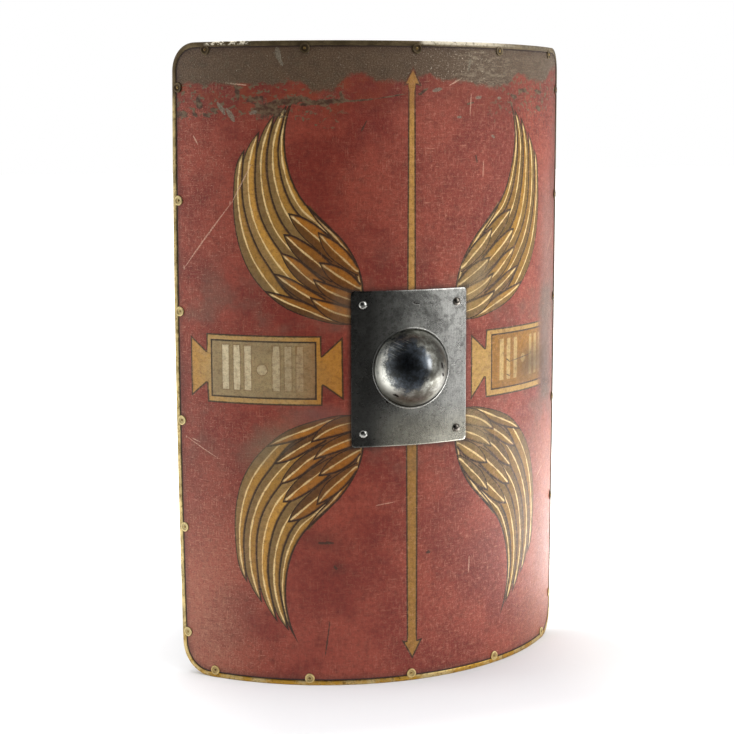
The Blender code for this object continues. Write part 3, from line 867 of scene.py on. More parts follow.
def lug_mesh(mesh, s, z, seed):
    """A round tab over the nail: a slightly dished disc with a raised rim, and dirt and painted shade in its
    dish and round its edge.
    """
    dirt_and_shade, tab = mesh.verts.layers.float["dirt_and_shade"], mesh.verts.layers.float["tab"]
    under, over = EDGING_FRONT - BRASS + LUG_LIFT, EDGING_FRONT + LUG_LIFT
    rings = []
    for radius, rise, grime_and_shade in LUG_PROFILE:
        level = under if rise is None else over + rise * (1 + 0.25 * math.sin(seed * 1.7))
        ring = []
        for side in range(LUG_SIDES) if radius else range(1):
            turn = 2 * math.pi * side / LUG_SIDES
            wobble = 1 + 0.03 * math.sin(3 * turn + seed) * (radius > 0.003)
            size = min(radius * wobble, LUG_SIZE)
            vertex = mesh.verts.new(bent(s + size * math.cos(turn), z + size * math.sin(turn), level))
            vertex[tab] = 1.0
            vertex[dirt_and_shade] = grime_and_shade
            ring.append(vertex)
        rings.append(ring)
    join_rings(mesh, rings)


def channel_mesh(start, end, section):
    """A dented channel along the rim, without its lugs."""
    mesh = bmesh.new()
    mesh.verts.layers.float.new("dirt_and_shade")
    mesh.verts.layers.float.new("tab")
    rings = []
    for spot, inward in edging_path(start, end):
        ring = []
        for inset, level in section:
            wave = noise.noise(Vector((spot.x * 60, spot.y * 60, inset * 90)))
            dented = level > EDGING_FRONT - DENTED_DEPTH and inset > DENTED_FROM
            shrink = DENT * max(0, wave) if dented else 0
            place = spot + inward * inset
            ring.append(mesh.verts.new(bent(place.x, place.y, level - shrink)))
        rings.append(ring)
    join_rings(mesh, rings)
    mesh.faces.new(rings[0])
    mesh.faces.new(rings[-1])
    bmesh.ops.triangulate(mesh, faces=[face for face in mesh.faces if len(face.verts) > 4])
    return mesh


def make_edging(material):
    section = edging_section()
    places = {name: (s, z) for name, s, z in lug_places()}
    ends = [start for _, start, _ in EDGING[1:] + EDGING[:1]]
    for index, ((node, start, lugs), end) in enumerate(zip(EDGING, ends)):
        mesh = channel_mesh(start, end, section)
        for seed, lug in enumerate(lugs):
            lug_mesh(mesh, *places[lug], seed + index)
        piece(node.replace("edging", "brass_edging"), mesh, material, [node])


# Nails and rivets
def turned(name, s, z, profile, sides, material, node):
    """A nail or rivet turned about the line straight out of the face at (s, z)."""
    turn = s / FACE
    out = Vector((math.sin(turn), -math.cos(turn), 0))
    across = Vector((math.cos(turn), math.sin(turn), 0))
    foot = Vector((0, AXIS_Y, z))
    mesh = bmesh.new()
    rings = []
    for radius, distance in profile:
        centre = foot + out * distance
        ring = []
        for side in range(sides) if radius else range(1):
            angle = 2 * math.pi * side / sides
            way = across * math.cos(angle) + Vector((0, 0, math.sin(angle)))
            ring.append(mesh.verts.new(centre + way * radius))
        rings.append(ring)
    join_rings(mesh, rings)
    piece(name, mesh, material, [node], 50)


HEAD_LIFT = 0.0003
NAIL_HEAD, NAIL_SHANK, NAIL_RISE, NAIL_LIP = 0.0023, 0.0009, 0.0009, 0.0001
NAIL_TURNS = (0.35, 0.7, 1.05, 1.35)
NAIL_TAIL = [(0.0018, 0), (0.0014, 0.0006), (0, 0.0009)]  # (radius, distance behind the board)
RIVET_HEAD, RIVET_SHANK, RIVET_RISE = 0.007, 0.0025, 0.0045
RIVET_TURNS = [math.radians(degrees) for degrees in (12, 24, 36, 48, 60, 72, 82)]
RIVET_TAIL = [(0.005, 0), (0.0046, 0.0008), (0.003, 0.0015), (0, 0.0018)]


def headed(head, rise, turns, lip, shank, front, tail):
    """(radius, distance from the upright axis) down a domed head, its shank and its clenched tail."""
    back = BOARD_BACK - HEAD_LIFT
    dome = [(head * math.sin(turn), front + rise * math.cos(turn)) for turn in turns]
    neck = [(head, front - lip), (shank, front - lip), (shank, back)]
    return [(0, front + rise), *dome, *neck] + [(radius, back - depth) for radius, depth in tail]


def make_nails(material):
    front = EDGING_FRONT + HEAD_LIFT
    profile = headed(NAIL_HEAD, NAIL_RISE, NAIL_TURNS, NAIL_LIP, NAIL_SHANK, front, NAIL_TAIL)
    for name, s, z in lug_places():
        turned(f"nail_{name}", s, z, profile, 16, material, f"edging_nail_{name}")


def make_rivets(material):
    front = PLATE_FRONT + HEAD_LIFT
    profile = headed(RIVET_HEAD, RIVET_RISE, RIVET_TURNS, 0, RIVET_SHANK, front, RIVET_TAIL)
    for name, s, z in rivet_places():
        turned(f"rivet_{name}", s, z, profile, 32, material, f"boss_rivet_{name}")


# Boss
DOME, DOME_HALF = 0.065, math.radians(75)
DOME_FOOT = DOME * math.sin(DOME_HALF)
DOME_RISE = DOME * (1 - math.cos(DOME_HALF))
BEAD_WIDTH, BEAD_RISE = 0.0042, 0.0028
BEAD_EDGE = DOME_FOOT + BEAD_WIDTH
BEAD_PROFILE = [  # (share of its width, share of its rise)
    (0.05, 0.35), (0.15, 0.68), (0.3, 0.9), (0.5, 1.0), (0.68, 0.96), (0.82, 0.8), (0.92, 0.62),
    (1.0, 0.58),
]
IRON = 0.0015
HOLLOW = DOME - IRON
HOLLOW_FOOT = math.sqrt(HOLLOW**2 - (HOLLOW - DOME_RISE) ** 2)
PLATE_CUTS, PLATE_MARGIN, DOME_SIDES = 48, 3, 144
EASE_WIDTH, EASE_DEPTH = 0.8, 0.0005  # the rounded brow of the plate's edge, in millimetres and metres


def plate_wave(s, z):
    """How far the boss plate stands off true: hammered unevenness, and edges that lift a little."""
    up = z - BOSS_Z
    wave = 0.00028 * noise.noise(Vector((s * 16, z * 16, 3)))
    lift = 0.0007 * smooth_step(-up, 0.108, 0.126) * (0.6 + 0.4 * math.sin(s * 40))
    edge = 0.0004 * smooth_step(abs(s), 0.088, 0.1)
    return max(0, wave + lift + edge)


def plate_sheet(mesh, level, opening, ease_depth):
    """One side of the plate: flat corners, vertices, the ring round its opening, and its other edges."""
    across, up = PLATE_ACROSS - PLATE_CORNER, PLATE_UP - PLATE_CORNER
    outline, brow = [], []
    for s, z, start in ((across, -up, -90), (across, up, 0), (-across, up, 90), (-across, -up, 180)):
        outline += arc((s, BOSS_UP + z), PLATE_CORNER, start, start + 90, 6)
        brow += arc((s, BOSS_UP + z), PLATE_CORNER - EASE_WIDTH, start, start + 90, 6)
    holes = [arc((s / MM, z / MM), RIVET_HOLE, 0, 330, 11) for _, s, z in rivet_places()]
    circle = arc((0, BOSS_UP), opening / MM, 0, 360, DOME_SIDES)[:-1]
    columns = evenly(PLATE_ACROSS + PLATE_MARGIN, PLATE_CUTS)
    rows = evenly(PLATE_UP + PLATE_MARGIN, PLATE_CUTS, BOSS_UP)
    corners, faces = plan([outline, brow, circle] + holes, [], columns, rows)
    faces = faces[between(corners[faces].mean(1), outline, [circle] + holes)]
    ease = np.clip(1 - away(corners, outline + outline[:1]) / EASE_WIDTH, 0, 1) * ease_depth
    verts = {}
    for i in sorted(set(faces.ravel())):
        s, z = corners[i] * MM
        verts[i] = mesh.verts.new(bent(s, z, level + plate_wave(s, z) - ease[i]))
    for face in faces:
        mesh.faces.new([verts[i] for i in face])
    ring, walls = [], []
    for start, end in rim_edges(faces):
        reach = math.hypot(corners[start][0], corners[start][1] - BOSS_UP)
        if abs(reach - opening / MM) < 0.2:
            ring.append(start)
        else:
            walls.append((start, end))
    ring.sort(key=lambda i: math.atan2(corners[i][1] - BOSS_UP, corners[i][0]))
    return corners, verts, ring, walls


def dome_side(mesh, sheet, foot_radius, level, profile):
    """The dome over a sheet's opening, with a ring at each (radius, rise) up to the top."""
    corners, verts, ring, _ = sheet
    crown = bent(0, 0, level).y
    rings = [[verts[i] for i in ring]]
    for radius, rise in profile:
        share = radius / foot_radius
        made = []
        for i in ring if radius else ring[:1]:
            s, z = corners[i] * MM
            spot = bent(s * share, BOSS_Z + (z - BOSS_Z) * share, level)
            spot.y = crown + (spot.y - crown) * share**3 - rise
            made.append(mesh.verts.new(spot))
        rings.append(made)
    join_rings(mesh, rings)


def cap(radius, top, lowest, steps):
    """(radius, rise) from a ball's lowest ring to its top."""
    start = math.acos((lowest - top + radius) / radius)
    turns = [start * (steps - step) / steps for step in range(steps)]
    return [(radius * math.sin(turn), top - radius * (1 - math.cos(turn))) for turn in turns] + [(0, top)]


def make_boss(material):
    mesh = bmesh.new()
    front = plate_sheet(mesh, PLATE_FRONT, BEAD_EDGE, EASE_DEPTH)
    back = plate_sheet(mesh, PLATE_BACK, HOLLOW_FOOT, 0)
    corners, verts, _, walls = front
    back_corners, back_verts, _, _ = back
    behind = nearest({i: back_corners[i] for i in back_verts})
    for start, end in walls:
        under = [back_verts[behind(corners[i])] for i in (end, start)]
        mesh.faces.new([verts[start], verts[end], *under])
    bead = [(BEAD_EDGE - BEAD_WIDTH * share, BEAD_RISE * rise) for share, rise in BEAD_PROFILE]
    outer = cap(DOME, DOME_RISE, BEAD_RISE * 0.75, 40)
    dome_side(mesh, front, BEAD_EDGE, PLATE_FRONT, bead + outer)
    dome_side(mesh, back, HOLLOW_FOOT, PLATE_BACK, cap(HOLLOW, DOME_RISE, 0, 30)[1:])
    piece("iron_boss", mesh, material, ["boss"], 40)


# Painted linen. The face's places are in millimetres.
TABLETS_UP = 521
LAYOUT_HALF = 410
BAND_LOW, BAND_SPAN = 950, 70
TARNISH_EDGE = [  # how low the tarnish along the head comes down, as (across, height)
    (-406, 974), (-300, 973), (-215, 971), (-198, 978), (-178, 976), (-164, 962), (-125, 960), (-104, 986),
    (-80, 986), (-60, 978), (-10, 975), (14, 984), (30, 989), (50, 981), (130, 973), (165, 968), (195, 975),
    (215, 991), (238, 990), (252, 981), (320, 981), (345, 1003), (406, 1012),
]
SMUTS = [  # marks as (from, to, half width, softness), and the strength and tone of the grime in them
    ([((-190, 448), (-112, 452), 26, 0.95)], 0.45, (104, 80, 74)),
    ([((234, 506), (322, 510), 50, 0.95)], 0.8, (78, 57, 32)),
    ([((-175, 246), (-118, 240), 26, 0.95), ((-126, 196), (-118, 198), 20, 0.95)], 0.42, (70, 34, 24)),
]


def linen_signals(g):
    """Places on the face, what its corners carry, and the threads and unevenness of the cloth."""
    g.mm = g.node("UVMap", uv_map="flat").scaled(1000, 1000, 0)
    g.s, g.z, _ = g.mm.split()
    g.from_outer, g.from_inner, g.from_rim = g.carried("sides").split()
    g.painted, g.line, g.shine = g.carried("strength").split()
    g.stain_level, g.chip_level, g.scratch_level = g.carried("marks").split()
    across, along = g.mm.scaled(0.42, 0.05), g.mm.scaled(0.05, 0.42)
    g.threads = most(across.noise(1.0, 3, 0.75), along.noise(1.0, 3, 0.75))
    g.fine = g.mm.noise(0.42, 4, 0.75)
    g.medium = g.mm.noise(0.055, 5, 0.62)
    g.uneven = (g.fine - 0.5) * 2.0
    g.shaken = (g.mm.noise(0.11, 5, 0.75) - 0.5) * 1.7 + g.uneven * 0.16
    g.tablet = abs(g.z - TABLETS_UP).fit(66, 58)


def linen_ground(g):
    """The red ground, duller and darker in places."""
    ground = g.tones(g.mm.noise(0.0085, 3, 0.5).fit(0.38, 0.62), (120, 44, 32), (142, 62, 46))
    return g.coat(ground, g.medium.fit(0.42, 0.72, 0, 0.40), (100, 40, 30))


def linen_strokes(g):
    """The design: each stroke goes from a duller outer half over a pale line to a warmer inner half."""
    wobble = (g.mm.noise(0.16, 2) - 0.5) * 1.6
    out = g.from_outer + wobble
    back = g.from_inner + wobble
    width = most(out + back, 0.5)
    share = out / width
    outer_tone, inner_tone = g.carried("outer_tone", "Color"), g.carried("inner_tone", "Color")
    stroke = g.mix((share + g.uneven * 0.10).fit(0.30, 0.60), outer_tone, inner_tone)
    stroke = g.coat(stroke, g.mm.noise(0.12, 3).fit(0.42, 0.72, 0, 0.4), (112, 74, 32))
    stroke = g.coat(stroke, back.fit(2.0, 6.5, 0.55, 0) * g.line, (96, 60, 24))
    thick = g.mm.noise(0.05, 2).fit(0.3, 0.7, 1.0, 2.6)
    glint = (abs((share - 0.47) * width) / thick).fit(0.25, 1.0, 1, 0)
    glint = glint * g.shine.fit(0, 1) * width.fit(5, 11)
    stroke = g.coat(stroke, glint * g.fine.fit(0.30, 0.52, 0.65, 1.0), (232, 202, 142))
    near_crown = g.s.fit(-215, -120) * g.s.fit(-60, -100)
    stroke = g.mix(near_crown * 0.40, stroke, g.tones(g.tablet, (116, 62, 8), (160, 86, 6)))
    greyed = (g.tablet * g.line) * (g.s.fit(-145, -200) * g.s.fit(-372, -335, 0.2, 1))
    stroke = g.coat(stroke, greyed * g.medium.fit(0.3, 0.6, 0.2, 0.45), (176, 158, 114))
    outlined = out + g.shine.fit(0.0, 0.9, -0.9, 0.0)
    edge = most(back.fit(2.2, 4.2, 1, 0), outlined.fit(1.0, 2.6, 1, 0))
    return g.coat(stroke, edge * g.line * 0.92, (27, 18, 11))


def linen_design(g, ground):
    """The strokes over the ground, lost beyond the right tablet, where the face is worn brown."""
    lost = abs(g.z - 536).fit(115, 85) * (g.s + g.uneven * 6).fit(292, 330)
    colour = g.mix(g.painted * (1.0 - lost), ground, linen_strokes(g))
    return g.coat(colour, lost * g.s.fit(345, 385, 0.9, 0.5), (74, 57, 47))


def linen_wear(g, colour):
    """Threads laid bare, most of all low down on the left and over the right half, smudges and dust, and
    painted sheen and shade.
    """
    bare = g.mm.noise(0.016, 4, 0.6).fit(0.34, 0.68, 0.25, 0.8) * abs(g.s + 130).fit(60, 130, 0.5, 1)
    low_left = g.s.fit(-230, -330) * g.z.fit(620, 250, 0.2, 1.0)
    bare = most(bare, low_left, g.s.fit(-10, 60) * 0.6, g.s.fit(-270, -370, 0, 0.9))
    bare = bare * g.painted.fit(0, 1, 1, 0.55)
    g.rubbed = g.threads.fit(0.54, 0.72) * bare
    # painted sheen: the face paler low on the left and over the lower right
    paled_sheen = most(g.s.fit(-230, -350) * g.z.fit(420, 60), g.s.fit(170, 350) * g.z.fit(470, 330, 0, 0.9))
    paled_sheen = paled_sheen * g.painted.fit(0, 1, 1, 0.4) * g.medium.fit(0.3, 0.6, 0.5, 1)
    colour = g.coat(colour, paled_sheen * 0.30, (204, 146, 118))
    colour = g.coat(colour, g.rubbed * 0.55, (206, 152, 122))
    colour = g.coat(colour, g.fine.fit(0.50, 0.30, 0, 0.42), (44, 22, 16))
    smudge = g.mm.noise(0.14, 4, 0.72)
    colour = g.coat(colour, smudge.fit(0.52, 0.34, 0, 0.28), (54, 24, 18))
    colour = g.coat(colour, smudge.fit(0.52, 0.68, 0, 0.20) * g.s.fit(-120, 40, 0.3, 1), (208, 150, 126))
    dust = g.fine.fit(0.56, 0.70) * bare.fit(0.1, 0.7)
    colour = g.coat(colour, dust * g.s.fit(-300, -150, 0.55, 0.34), (214, 172, 142))
    beside_tablet = (g.s.fit(282, 335) * g.s.fit(402, 370)) * (g.z.fit(430, 560) * g.z.fit(880, 740))
    colour = g.coat(colour, beside_tablet * 0.38, (140, 116, 104))
    # painted shade: the far right of the face above the tablets darker
    far_right_shade = g.s.fit(335, 380) * g.z.fit(640, 800)
    return g.coat(colour, far_right_shade * 0.5, (92, 42, 26))


def linen_handling(g, colour):
    """Grey haze of handling beside the plate and over the wings, painted grey sheen over the lower left wing,
    and grime in a few places.
    """
    haze = g.mm.noise(0.013, 3).fit(0.44, 0.66) * abs(g.z - BOSS_UP).fit(240, 90)
    colour = g.coat(colour, haze * 0.40 * g.tablet.fit(0, 1, 1, 0.4), (98, 84, 70))
    # painted sheen: a grey cast over the lower left wing
    lower_left_sheen = g.mm.mark((-268, 372), (-205, 428), 42, 0.95)
    colour = g.coat(colour, lower_left_sheen * g.fine.fit(0.3, 0.6, 0.25, 0.6), (112, 100, 78))
    upper, lower = g.mm.mark((100, 622), (142, 690), 34, 0.9), g.mm.mark((105, 440), (150, 380), 30, 0.9)
    right_wings = most(upper, lower) * g.painted * g.fine.fit(0.35, 0.6, 0.1, 0.45)
    colour = g.coat(colour, right_wings, (160, 140, 104))
    for marks, strength, tone in SMUTS:
        colour = g.coat(colour, most(*[g.mm.mark(*mark) for mark in marks]) * strength, tone)
    return colour


def linen_stains(g, colour):
    """Rust and dark stains below the tarnish along the head, and listed stains lower down."""
    stops = [
        ((across + LAYOUT_HALF) / (2 * LAYOUT_HALF), (height - BAND_LOW) / BAND_SPAN)
        for across, height in TARNISH_EDGE
    ]
    level = g.ramp(g.s.fit(-LAYOUT_HALF, LAYOUT_HALF, 0, 1, False), stops)
    lip = level * BAND_SPAN + BAND_LOW
    g.above = (g.z - lip) + (g.mm.noise(0.045, 5, 0.66) - 0.5) * 26
    near_head = g.above.fit(-75, -8)
    colour = g.coat(colour, near_head * 0.28, (84, 34, 28))
    rust = near_head * g.mm.noise(0.028, 4, 0.6).fit(0.44, 0.60) * g.s.fit(60, -180, 0.35, 1)
    colour = g.coat(colour, rust * 0.55, (128, 56, 28))
    blotches = g.mm.scaled(0.8, 1.0).noise(0.12, 3, 0.6) + g.above.fit(-70, -46, -0.2, 0)
    spots = blotches.fit(0.555, 0.60) * most(g.s.fit(-60, -160), g.s.fit(90, 220))
    flakes = g.mm.scaled(1.0, 0.6).noise(0.19, 3, 0.7)
    flakes = flakes.fit(0.56, 0.61) * (g.s.fit(150, 260) * g.z.fit(872, 910))
    listed = (g.stain_level + g.shaken).fit(0.42, 0.62) * g.stain_level.fit(0.0, 0.25)
    g.stains = most(listed, most(spots, flakes * 0.75))
    stained = g.tones((blotches + g.uneven * 0.05).fit(0.38, 0.62), (54, 41, 29), (98, 86, 64))
    return g.mix(g.stains * 0.86, colour, stained)


def linen_tarnish(g, colour):
    """The dark band along the head, streaky and specked on the right, with the arrow lying over it."""
    g.band = (g.above + g.uneven * 4.0).fit(-3.5, 5.5)
    tone = g.tones(g.s.fit(20, 170), (76, 60, 43), (80, 67, 53))
    tone = g.coat(tone, g.medium.fit(0.42, 0.70, 0, 0.5), (52, 41, 31))
    tone = g.coat(tone, g.fine.fit(0.42, 0.68, 0, 0.6), (122, 106, 84))
    colour = g.mix(g.band * (1.0 - g.shine.fit(-0.2, -0.8)) * 0.95, colour, tone)
    streaky = g.mm.scaled(0.05, 0.22).noise(1.0, 4, 0.75).fit(0.46, 0.66) * g.s.fit(50, 110)
    streaky = streaky * g.above.fit(-6, 8) * g.s.fit(240, 150, 0.25, 1)
    colour = g.coat(colour, streaky * 0.5, (156, 142, 120))
    specks = g.mm.noise(0.26, 4, 0.8) + abs(g.s - 82).fit(130, 30, -0.045, 0.012)
    specks = specks.fit(0.59, 0.64) * g.above.fit(-8, 4)
    return g.coat(colour, specks * 0.60, (196, 184, 162))


def linen_scratches(g, colour):
    """Scratches and chips."""
    pale = (g.scratch_level + g.shaken * 0.4).fit(0.40, 0.65) * g.fine.fit(0.35, 0.6, 0.15, 0.75)
    colour = g.mix(pale, colour, g.tones(g.band, (206, 168, 142), (150, 136, 112)))
    g.chips = (g.chip_level + g.shaken * 0.5).fit(0.45, 0.56)
    return g.mix(g.chips * 0.8, colour, g.tones(g.fine.fit(0.4, 0.6), (92, 84, 70), (132, 122, 104)))


def linen_dirt_and_shade(g, colour):
    """Dirt and painted shade gathered round the boss plate and along the edging."""
    # dirt and painted shade where the face meets the boss plate
    plate_dirt_and_shade = most(abs(g.s) - PLATE_ACROSS, abs(g.z - BOSS_UP) - PLATE_UP) + (g.medium - 0.5) * 14
    colour = g.coat(colour, plate_dirt_and_shade.fit(0.5, 9.0, 0.5, 0), (40, 28, 22))
    # dirt and painted shade along the edging
    rim_dirt_and_shade = g.from_rim + g.uneven * 1.2
    colour = g.coat(colour, rim_dirt_and_shade.fit(9.2, 11.5, 0.92, 0), (34, 24, 18))
    return g.coat(colour, rim_dirt_and_shade.fit(9.0, 22.0, 0.35, 0), (64, 44, 34))


def painted_linen():
    g = material_graph("painted linen")
    linen_signals(g)
    colour = linen_design(g, linen_ground(g))
    for coat in (linen_wear, linen_handling, linen_stains, linen_tarnish, linen_scratches, linen_dirt_and_shade):
        colour = coat(g, colour)
    weave = g.bump(g.threads * 1.5 + g.fine, 0.55, 0.0009)
    swell = g.mm.noise(0.012, 2) * 3.0 + (g.stains + g.chips * -1.0)
    normal = g.bump(swell, 0.30, 0.0012, Normal=weave)
    rough = (g.medium + g.rubbed * 0.2).fit(0.3, 0.8, 0.40, 0.58, False) + g.band * 0.08
    return g.finish(Base_Color=colour, Roughness=rough, Normal=normal, Specular_IOR_Level=0.36)


# Iron. Places on the boss are in millimetres from its middle.
RUST_PITS = [  # as (from, to, half width)
    ((36, 12), (40, 2), 3.2), ((39, -6), (42, -10), 2.6), ((44, 6), (46, 2), 1.8),
    ((-38, -38), (-32, -42), 2.6), ((0, 106), (14, 103), 1.3), ((18, 102), (24, 99), 0.9),
    ((-44, -52), (-41, -55), 1.4),
]


def iron_signals(g):
    g.spot = g.node("TexCoord", out="Object").seen_from(0, 0, BOSS_Z).scaled(1000, 1000, 1000)
    g.x, _, g.z = g.spot.split()
    g.face = g.node("CombineXYZ", {0: g.x, 1: g.z})
    g.dome = g.face.length().fit(64.5, 62.5)
    g.cloud = g.spot.noise(0.024, 5, 0.62)
    g.grain = g.spot.noise(0.55, 3, 0.7)
    g.smoke = g.spot.noise(0.10, 4, 0.7)


def iron_plate(g):
    """The plate: painted reflection and shade, dark at the left, bright at the right and along the foot, with
    darker clouds.
    """
    colour = g.tones(g.cloud.fit(0.35, 0.65), (162, 162, 157), (202, 202, 196))
    # painted reflection and shade: darker at the left, brighter at the right and along the foot
    colour = g.coat(colour, g.x.fit(12, -78, 0, 0.80), (60, 60, 58))
    colour = g.coat(colour, g.x.fit(15, 85, 0, 0.8), (226, 225, 220))
    colour = g.coat(colour, g.z.fit(-50, -112) * g.x.fit(-75, -20, 0, 0.75), (216, 211, 192))
    brushed = g.spot.scaled(1, 1, 0.05).noise(0.8, 2, 0.6)
    colour = g.coat(colour, brushed.fit(0.4, 0.7, 0, 0.25), (104, 102, 98))
    colour = g.coat(colour, g.grain.fit(0.50, 0.70, 0, 0.6), (74, 70, 64))
    return g.coat(colour, g.smoke.fit(0.46, 0.62, 0, 0.45) * g.z.fit(-70, 40, 0.35, 1), (70, 68, 64))


def iron_dome(g, colour):
    """The dome: painted reflection paler round the left, painted shade low and on the right, blue-black
    patina and painted dark reflection over its front, scored, and rubbed with a painted highlight.
    """
    sides = g.tones(g.smoke.fit(0.36, 0.6), (150, 150, 142), (98, 96, 88))
    # painted reflection: paler round the left; painted shade: darker low down and on the right
    sides = g.coat(sides, g.x.fit(-24, -46, 0, 0.85), (226, 226, 216))
    sides = g.coat(sides, g.z.fit(-22, -50, 0, 0.6), (98, 90, 78))
    sides = g.coat(sides, g.x.fit(18, 34, 0, 0.5), (96, 94, 88))
    colour = g.mix(g.dome, colour, sides)
    ragged = (g.spot.noise(0.075, 5, 0.72) - 0.5) * 46 + (g.grain - 0.5) * 16
    middle = g.face.seen_from(-21, 11, 0).scaled(1.3, 1.0, 0).length()
    tilted = g.node("VectorRotate", {"Vector": g.face, "Angle": 0.5}, rotation_type="Z_AXIS")
    scored = tilted.scaled(0.05, 0.5).noise(1.0, 3, 0.7).fit(0.52, 0.66)
    scored = scored * g.face.mark((-46, 30), (-20, 48), 15, 0.8)
    colour = g.coat(colour, scored * g.dome * 0.75, (222, 222, 216))
    # partly patina and partly painted dark reflection over the dome's front
    g.patina = (middle + ragged).fit(50, 36) * g.dome * (1.0 - scored * 0.8)
    colour = g.mix(g.patina * 0.9, colour, g.tones(g.smoke.fit(0.4, 0.64), (34, 39, 46), (84, 92, 102)))
    # painted highlight, partly metal rubbed bright through the patina
    rubbed = g.face.mark((10, 27), (13, 3), 8, 0.9) * g.smoke.fit(0.6, 0.42, 0.3, 1)
    return g.coat(colour, rubbed * g.dome * 0.6, (206, 211, 216))


def iron():
    """Rubbed iron: dull and clouded on the plate, smoother on the dome, with dark patina, painted reflection
    and shade, and rust pits.
    """
    g = material_graph("rubbed iron")
    iron_signals(g)
    colour = iron_dome(g, iron_plate(g))
    _, facing_back, _ = g.node("NewGeometry", out="True Normal").split()
    hollow = g.tones(g.cloud.fit(0.35, 0.65), (62, 60, 57), (96, 93, 88))
    colour = g.mix(facing_back.fit(-0.1, 0.1), colour, hollow)
    shake = g.face.noise(0.35, 3, out="Color").seen_from(0.5, 0.5, 0.5).scaled(6, 6, 0)
    shaken = g.face.vector("ADD", shake)
    spots = most(*[shaken.mark(*mark) for mark in RUST_PITS])
    rust = most(g.spot.noise(0.11, 4, 0.72).fit(0.60, 0.72) * 0.55, spots)
    colour = g.coat(colour, rust, (34, 28, 26))
    rough = g.cloud.fit(0.3, 0.7, 0.24, 0.32, False) + g.dome * 0.03 + (rust * 0.25 + g.patina * 0.04)
    normal = g.bump(g.grain * 0.35 + (g.cloud * 3.0 + spots * -1.0), 0.25, 0.0007)
    return g.finish(Base_Color=colour, Roughness=rough, Metallic=1.0, Normal=normal)


def small_iron(name, left, right):
    """Iron nails and rivets, in one tone on the left and another on the right, which paints light and shade
    where the two differ.
    """
    g = material_graph(name)
    here = g.node("TexCoord", out="Object")
    x, _, _ = here.split()
    spots = here.noise(240, 4, 0.7)
    colour = g.tones(x.fit(-0.04, 0.04), left, right)
    colour = g.coat(colour, spots.fit(0.48, 0.62, 0, 0.8), (46, 40, 36))
    rough = spots.fit(0.3, 0.7, 0.14, 0.36, False)
    return g.finish(Base_Color=colour, Roughness=rough, Metallic=1.0, Normal=g.bump(spots, 0.35, 0.0005))


# Brass
def brass():
    """Old brass: gold along the foot, paler up the sides, brown with a few bright flecks along the head, and
    a painted highlight along its top edge.
    """
    g = material_graph("aged brass")
    here = g.node("TexCoord", out="Object").scaled(1000, 1000, 1000)
    x, _, z = here.split()
    cloud = here.noise(0.038, 4, 0.6)
    spots = here.noise(0.17, 4, 0.7)
    bright = g.tones(z.fit(20, 90), (186, 144, 60), (150, 134, 92))
    bright = g.coat(bright, cloud.fit(0.40, 0.66), (206, 184, 130))
    bright = g.coat(bright, spots.fit(0.50, 0.66, 0, 0.7), (100, 76, 38))
    old = g.tones(cloud.fit(0.35, 0.7), (78, 64, 44), (112, 96, 70))
    head_right = x.fit(10, 60) * x.fit(270, 150, 0.2, 0.55) * z.fit(1020, 1028)
    old = g.coat(old, head_right * spots.fit(0.4, 0.6, 0.4, 1), (158, 144, 122))
    aged = most(z.fit(935, 965), x.fit(315, 335) * z.fit(60, 150))
    colour = g.mix(aged * 0.94, bright, old)
    # rubbed bright on the upper edge, partly a painted highlight: in flecks on the left, nearly whole just
    # right of the middle
    upper = z.fit(1033, 1036.5) * abs(x + 30).fit(342, 335)
    flecks = x.fit(-304, -296) * x.fit(-236, -250) * spots.fit(0.48, 0.54)
    highlight_streak = x.fit(10, 24) * x.fit(220, 120, 0.15, 1) * spots.fit(0.36, 0.52, 0.2, 0.8)
    bare = upper * most(flecks, highlight_streak)
    colour = g.coat(colour, bare, (228, 218, 194))
    tab = g.carried("tab", "Fac") * (1.0 - aged)
    colour = g.coat(colour, tab * 0.55, (222, 200, 140))
    # dirt and painted shade in the lugs' dishes and round their edges
    colour = g.coat(colour, g.carried("dirt_and_shade", "Fac") * tab.fit(0, 1, 0.75, 0.45), (50, 36, 20))
    rough = (cloud + aged * 0.4).fit(0.3, 1.1, 0.32, 0.60, False)
    metal = aged.fit(0, 1, 1.0, 0.7, False) - most(bare, tab) * 0.45
    normal = g.bump(cloud * 2 + spots, 0.3, 0.0007)
    return g.finish(Base_Color=colour, Roughness=rough, Metallic=metal, Normal=normal)


def nail_bronze():
    g = material_graph("nail bronze")
    spots = g.node("TexCoord", out="Object").noise(260, 3, 0.7)
    colour = g.tones(spots.fit(0.4, 0.65), (96, 74, 42), (172, 144, 86))
    return g.finish(Base_Color=colour, Roughness=0.42, Metallic=0.65, Normal=g.bump(spots, 0.3, 0.0004))


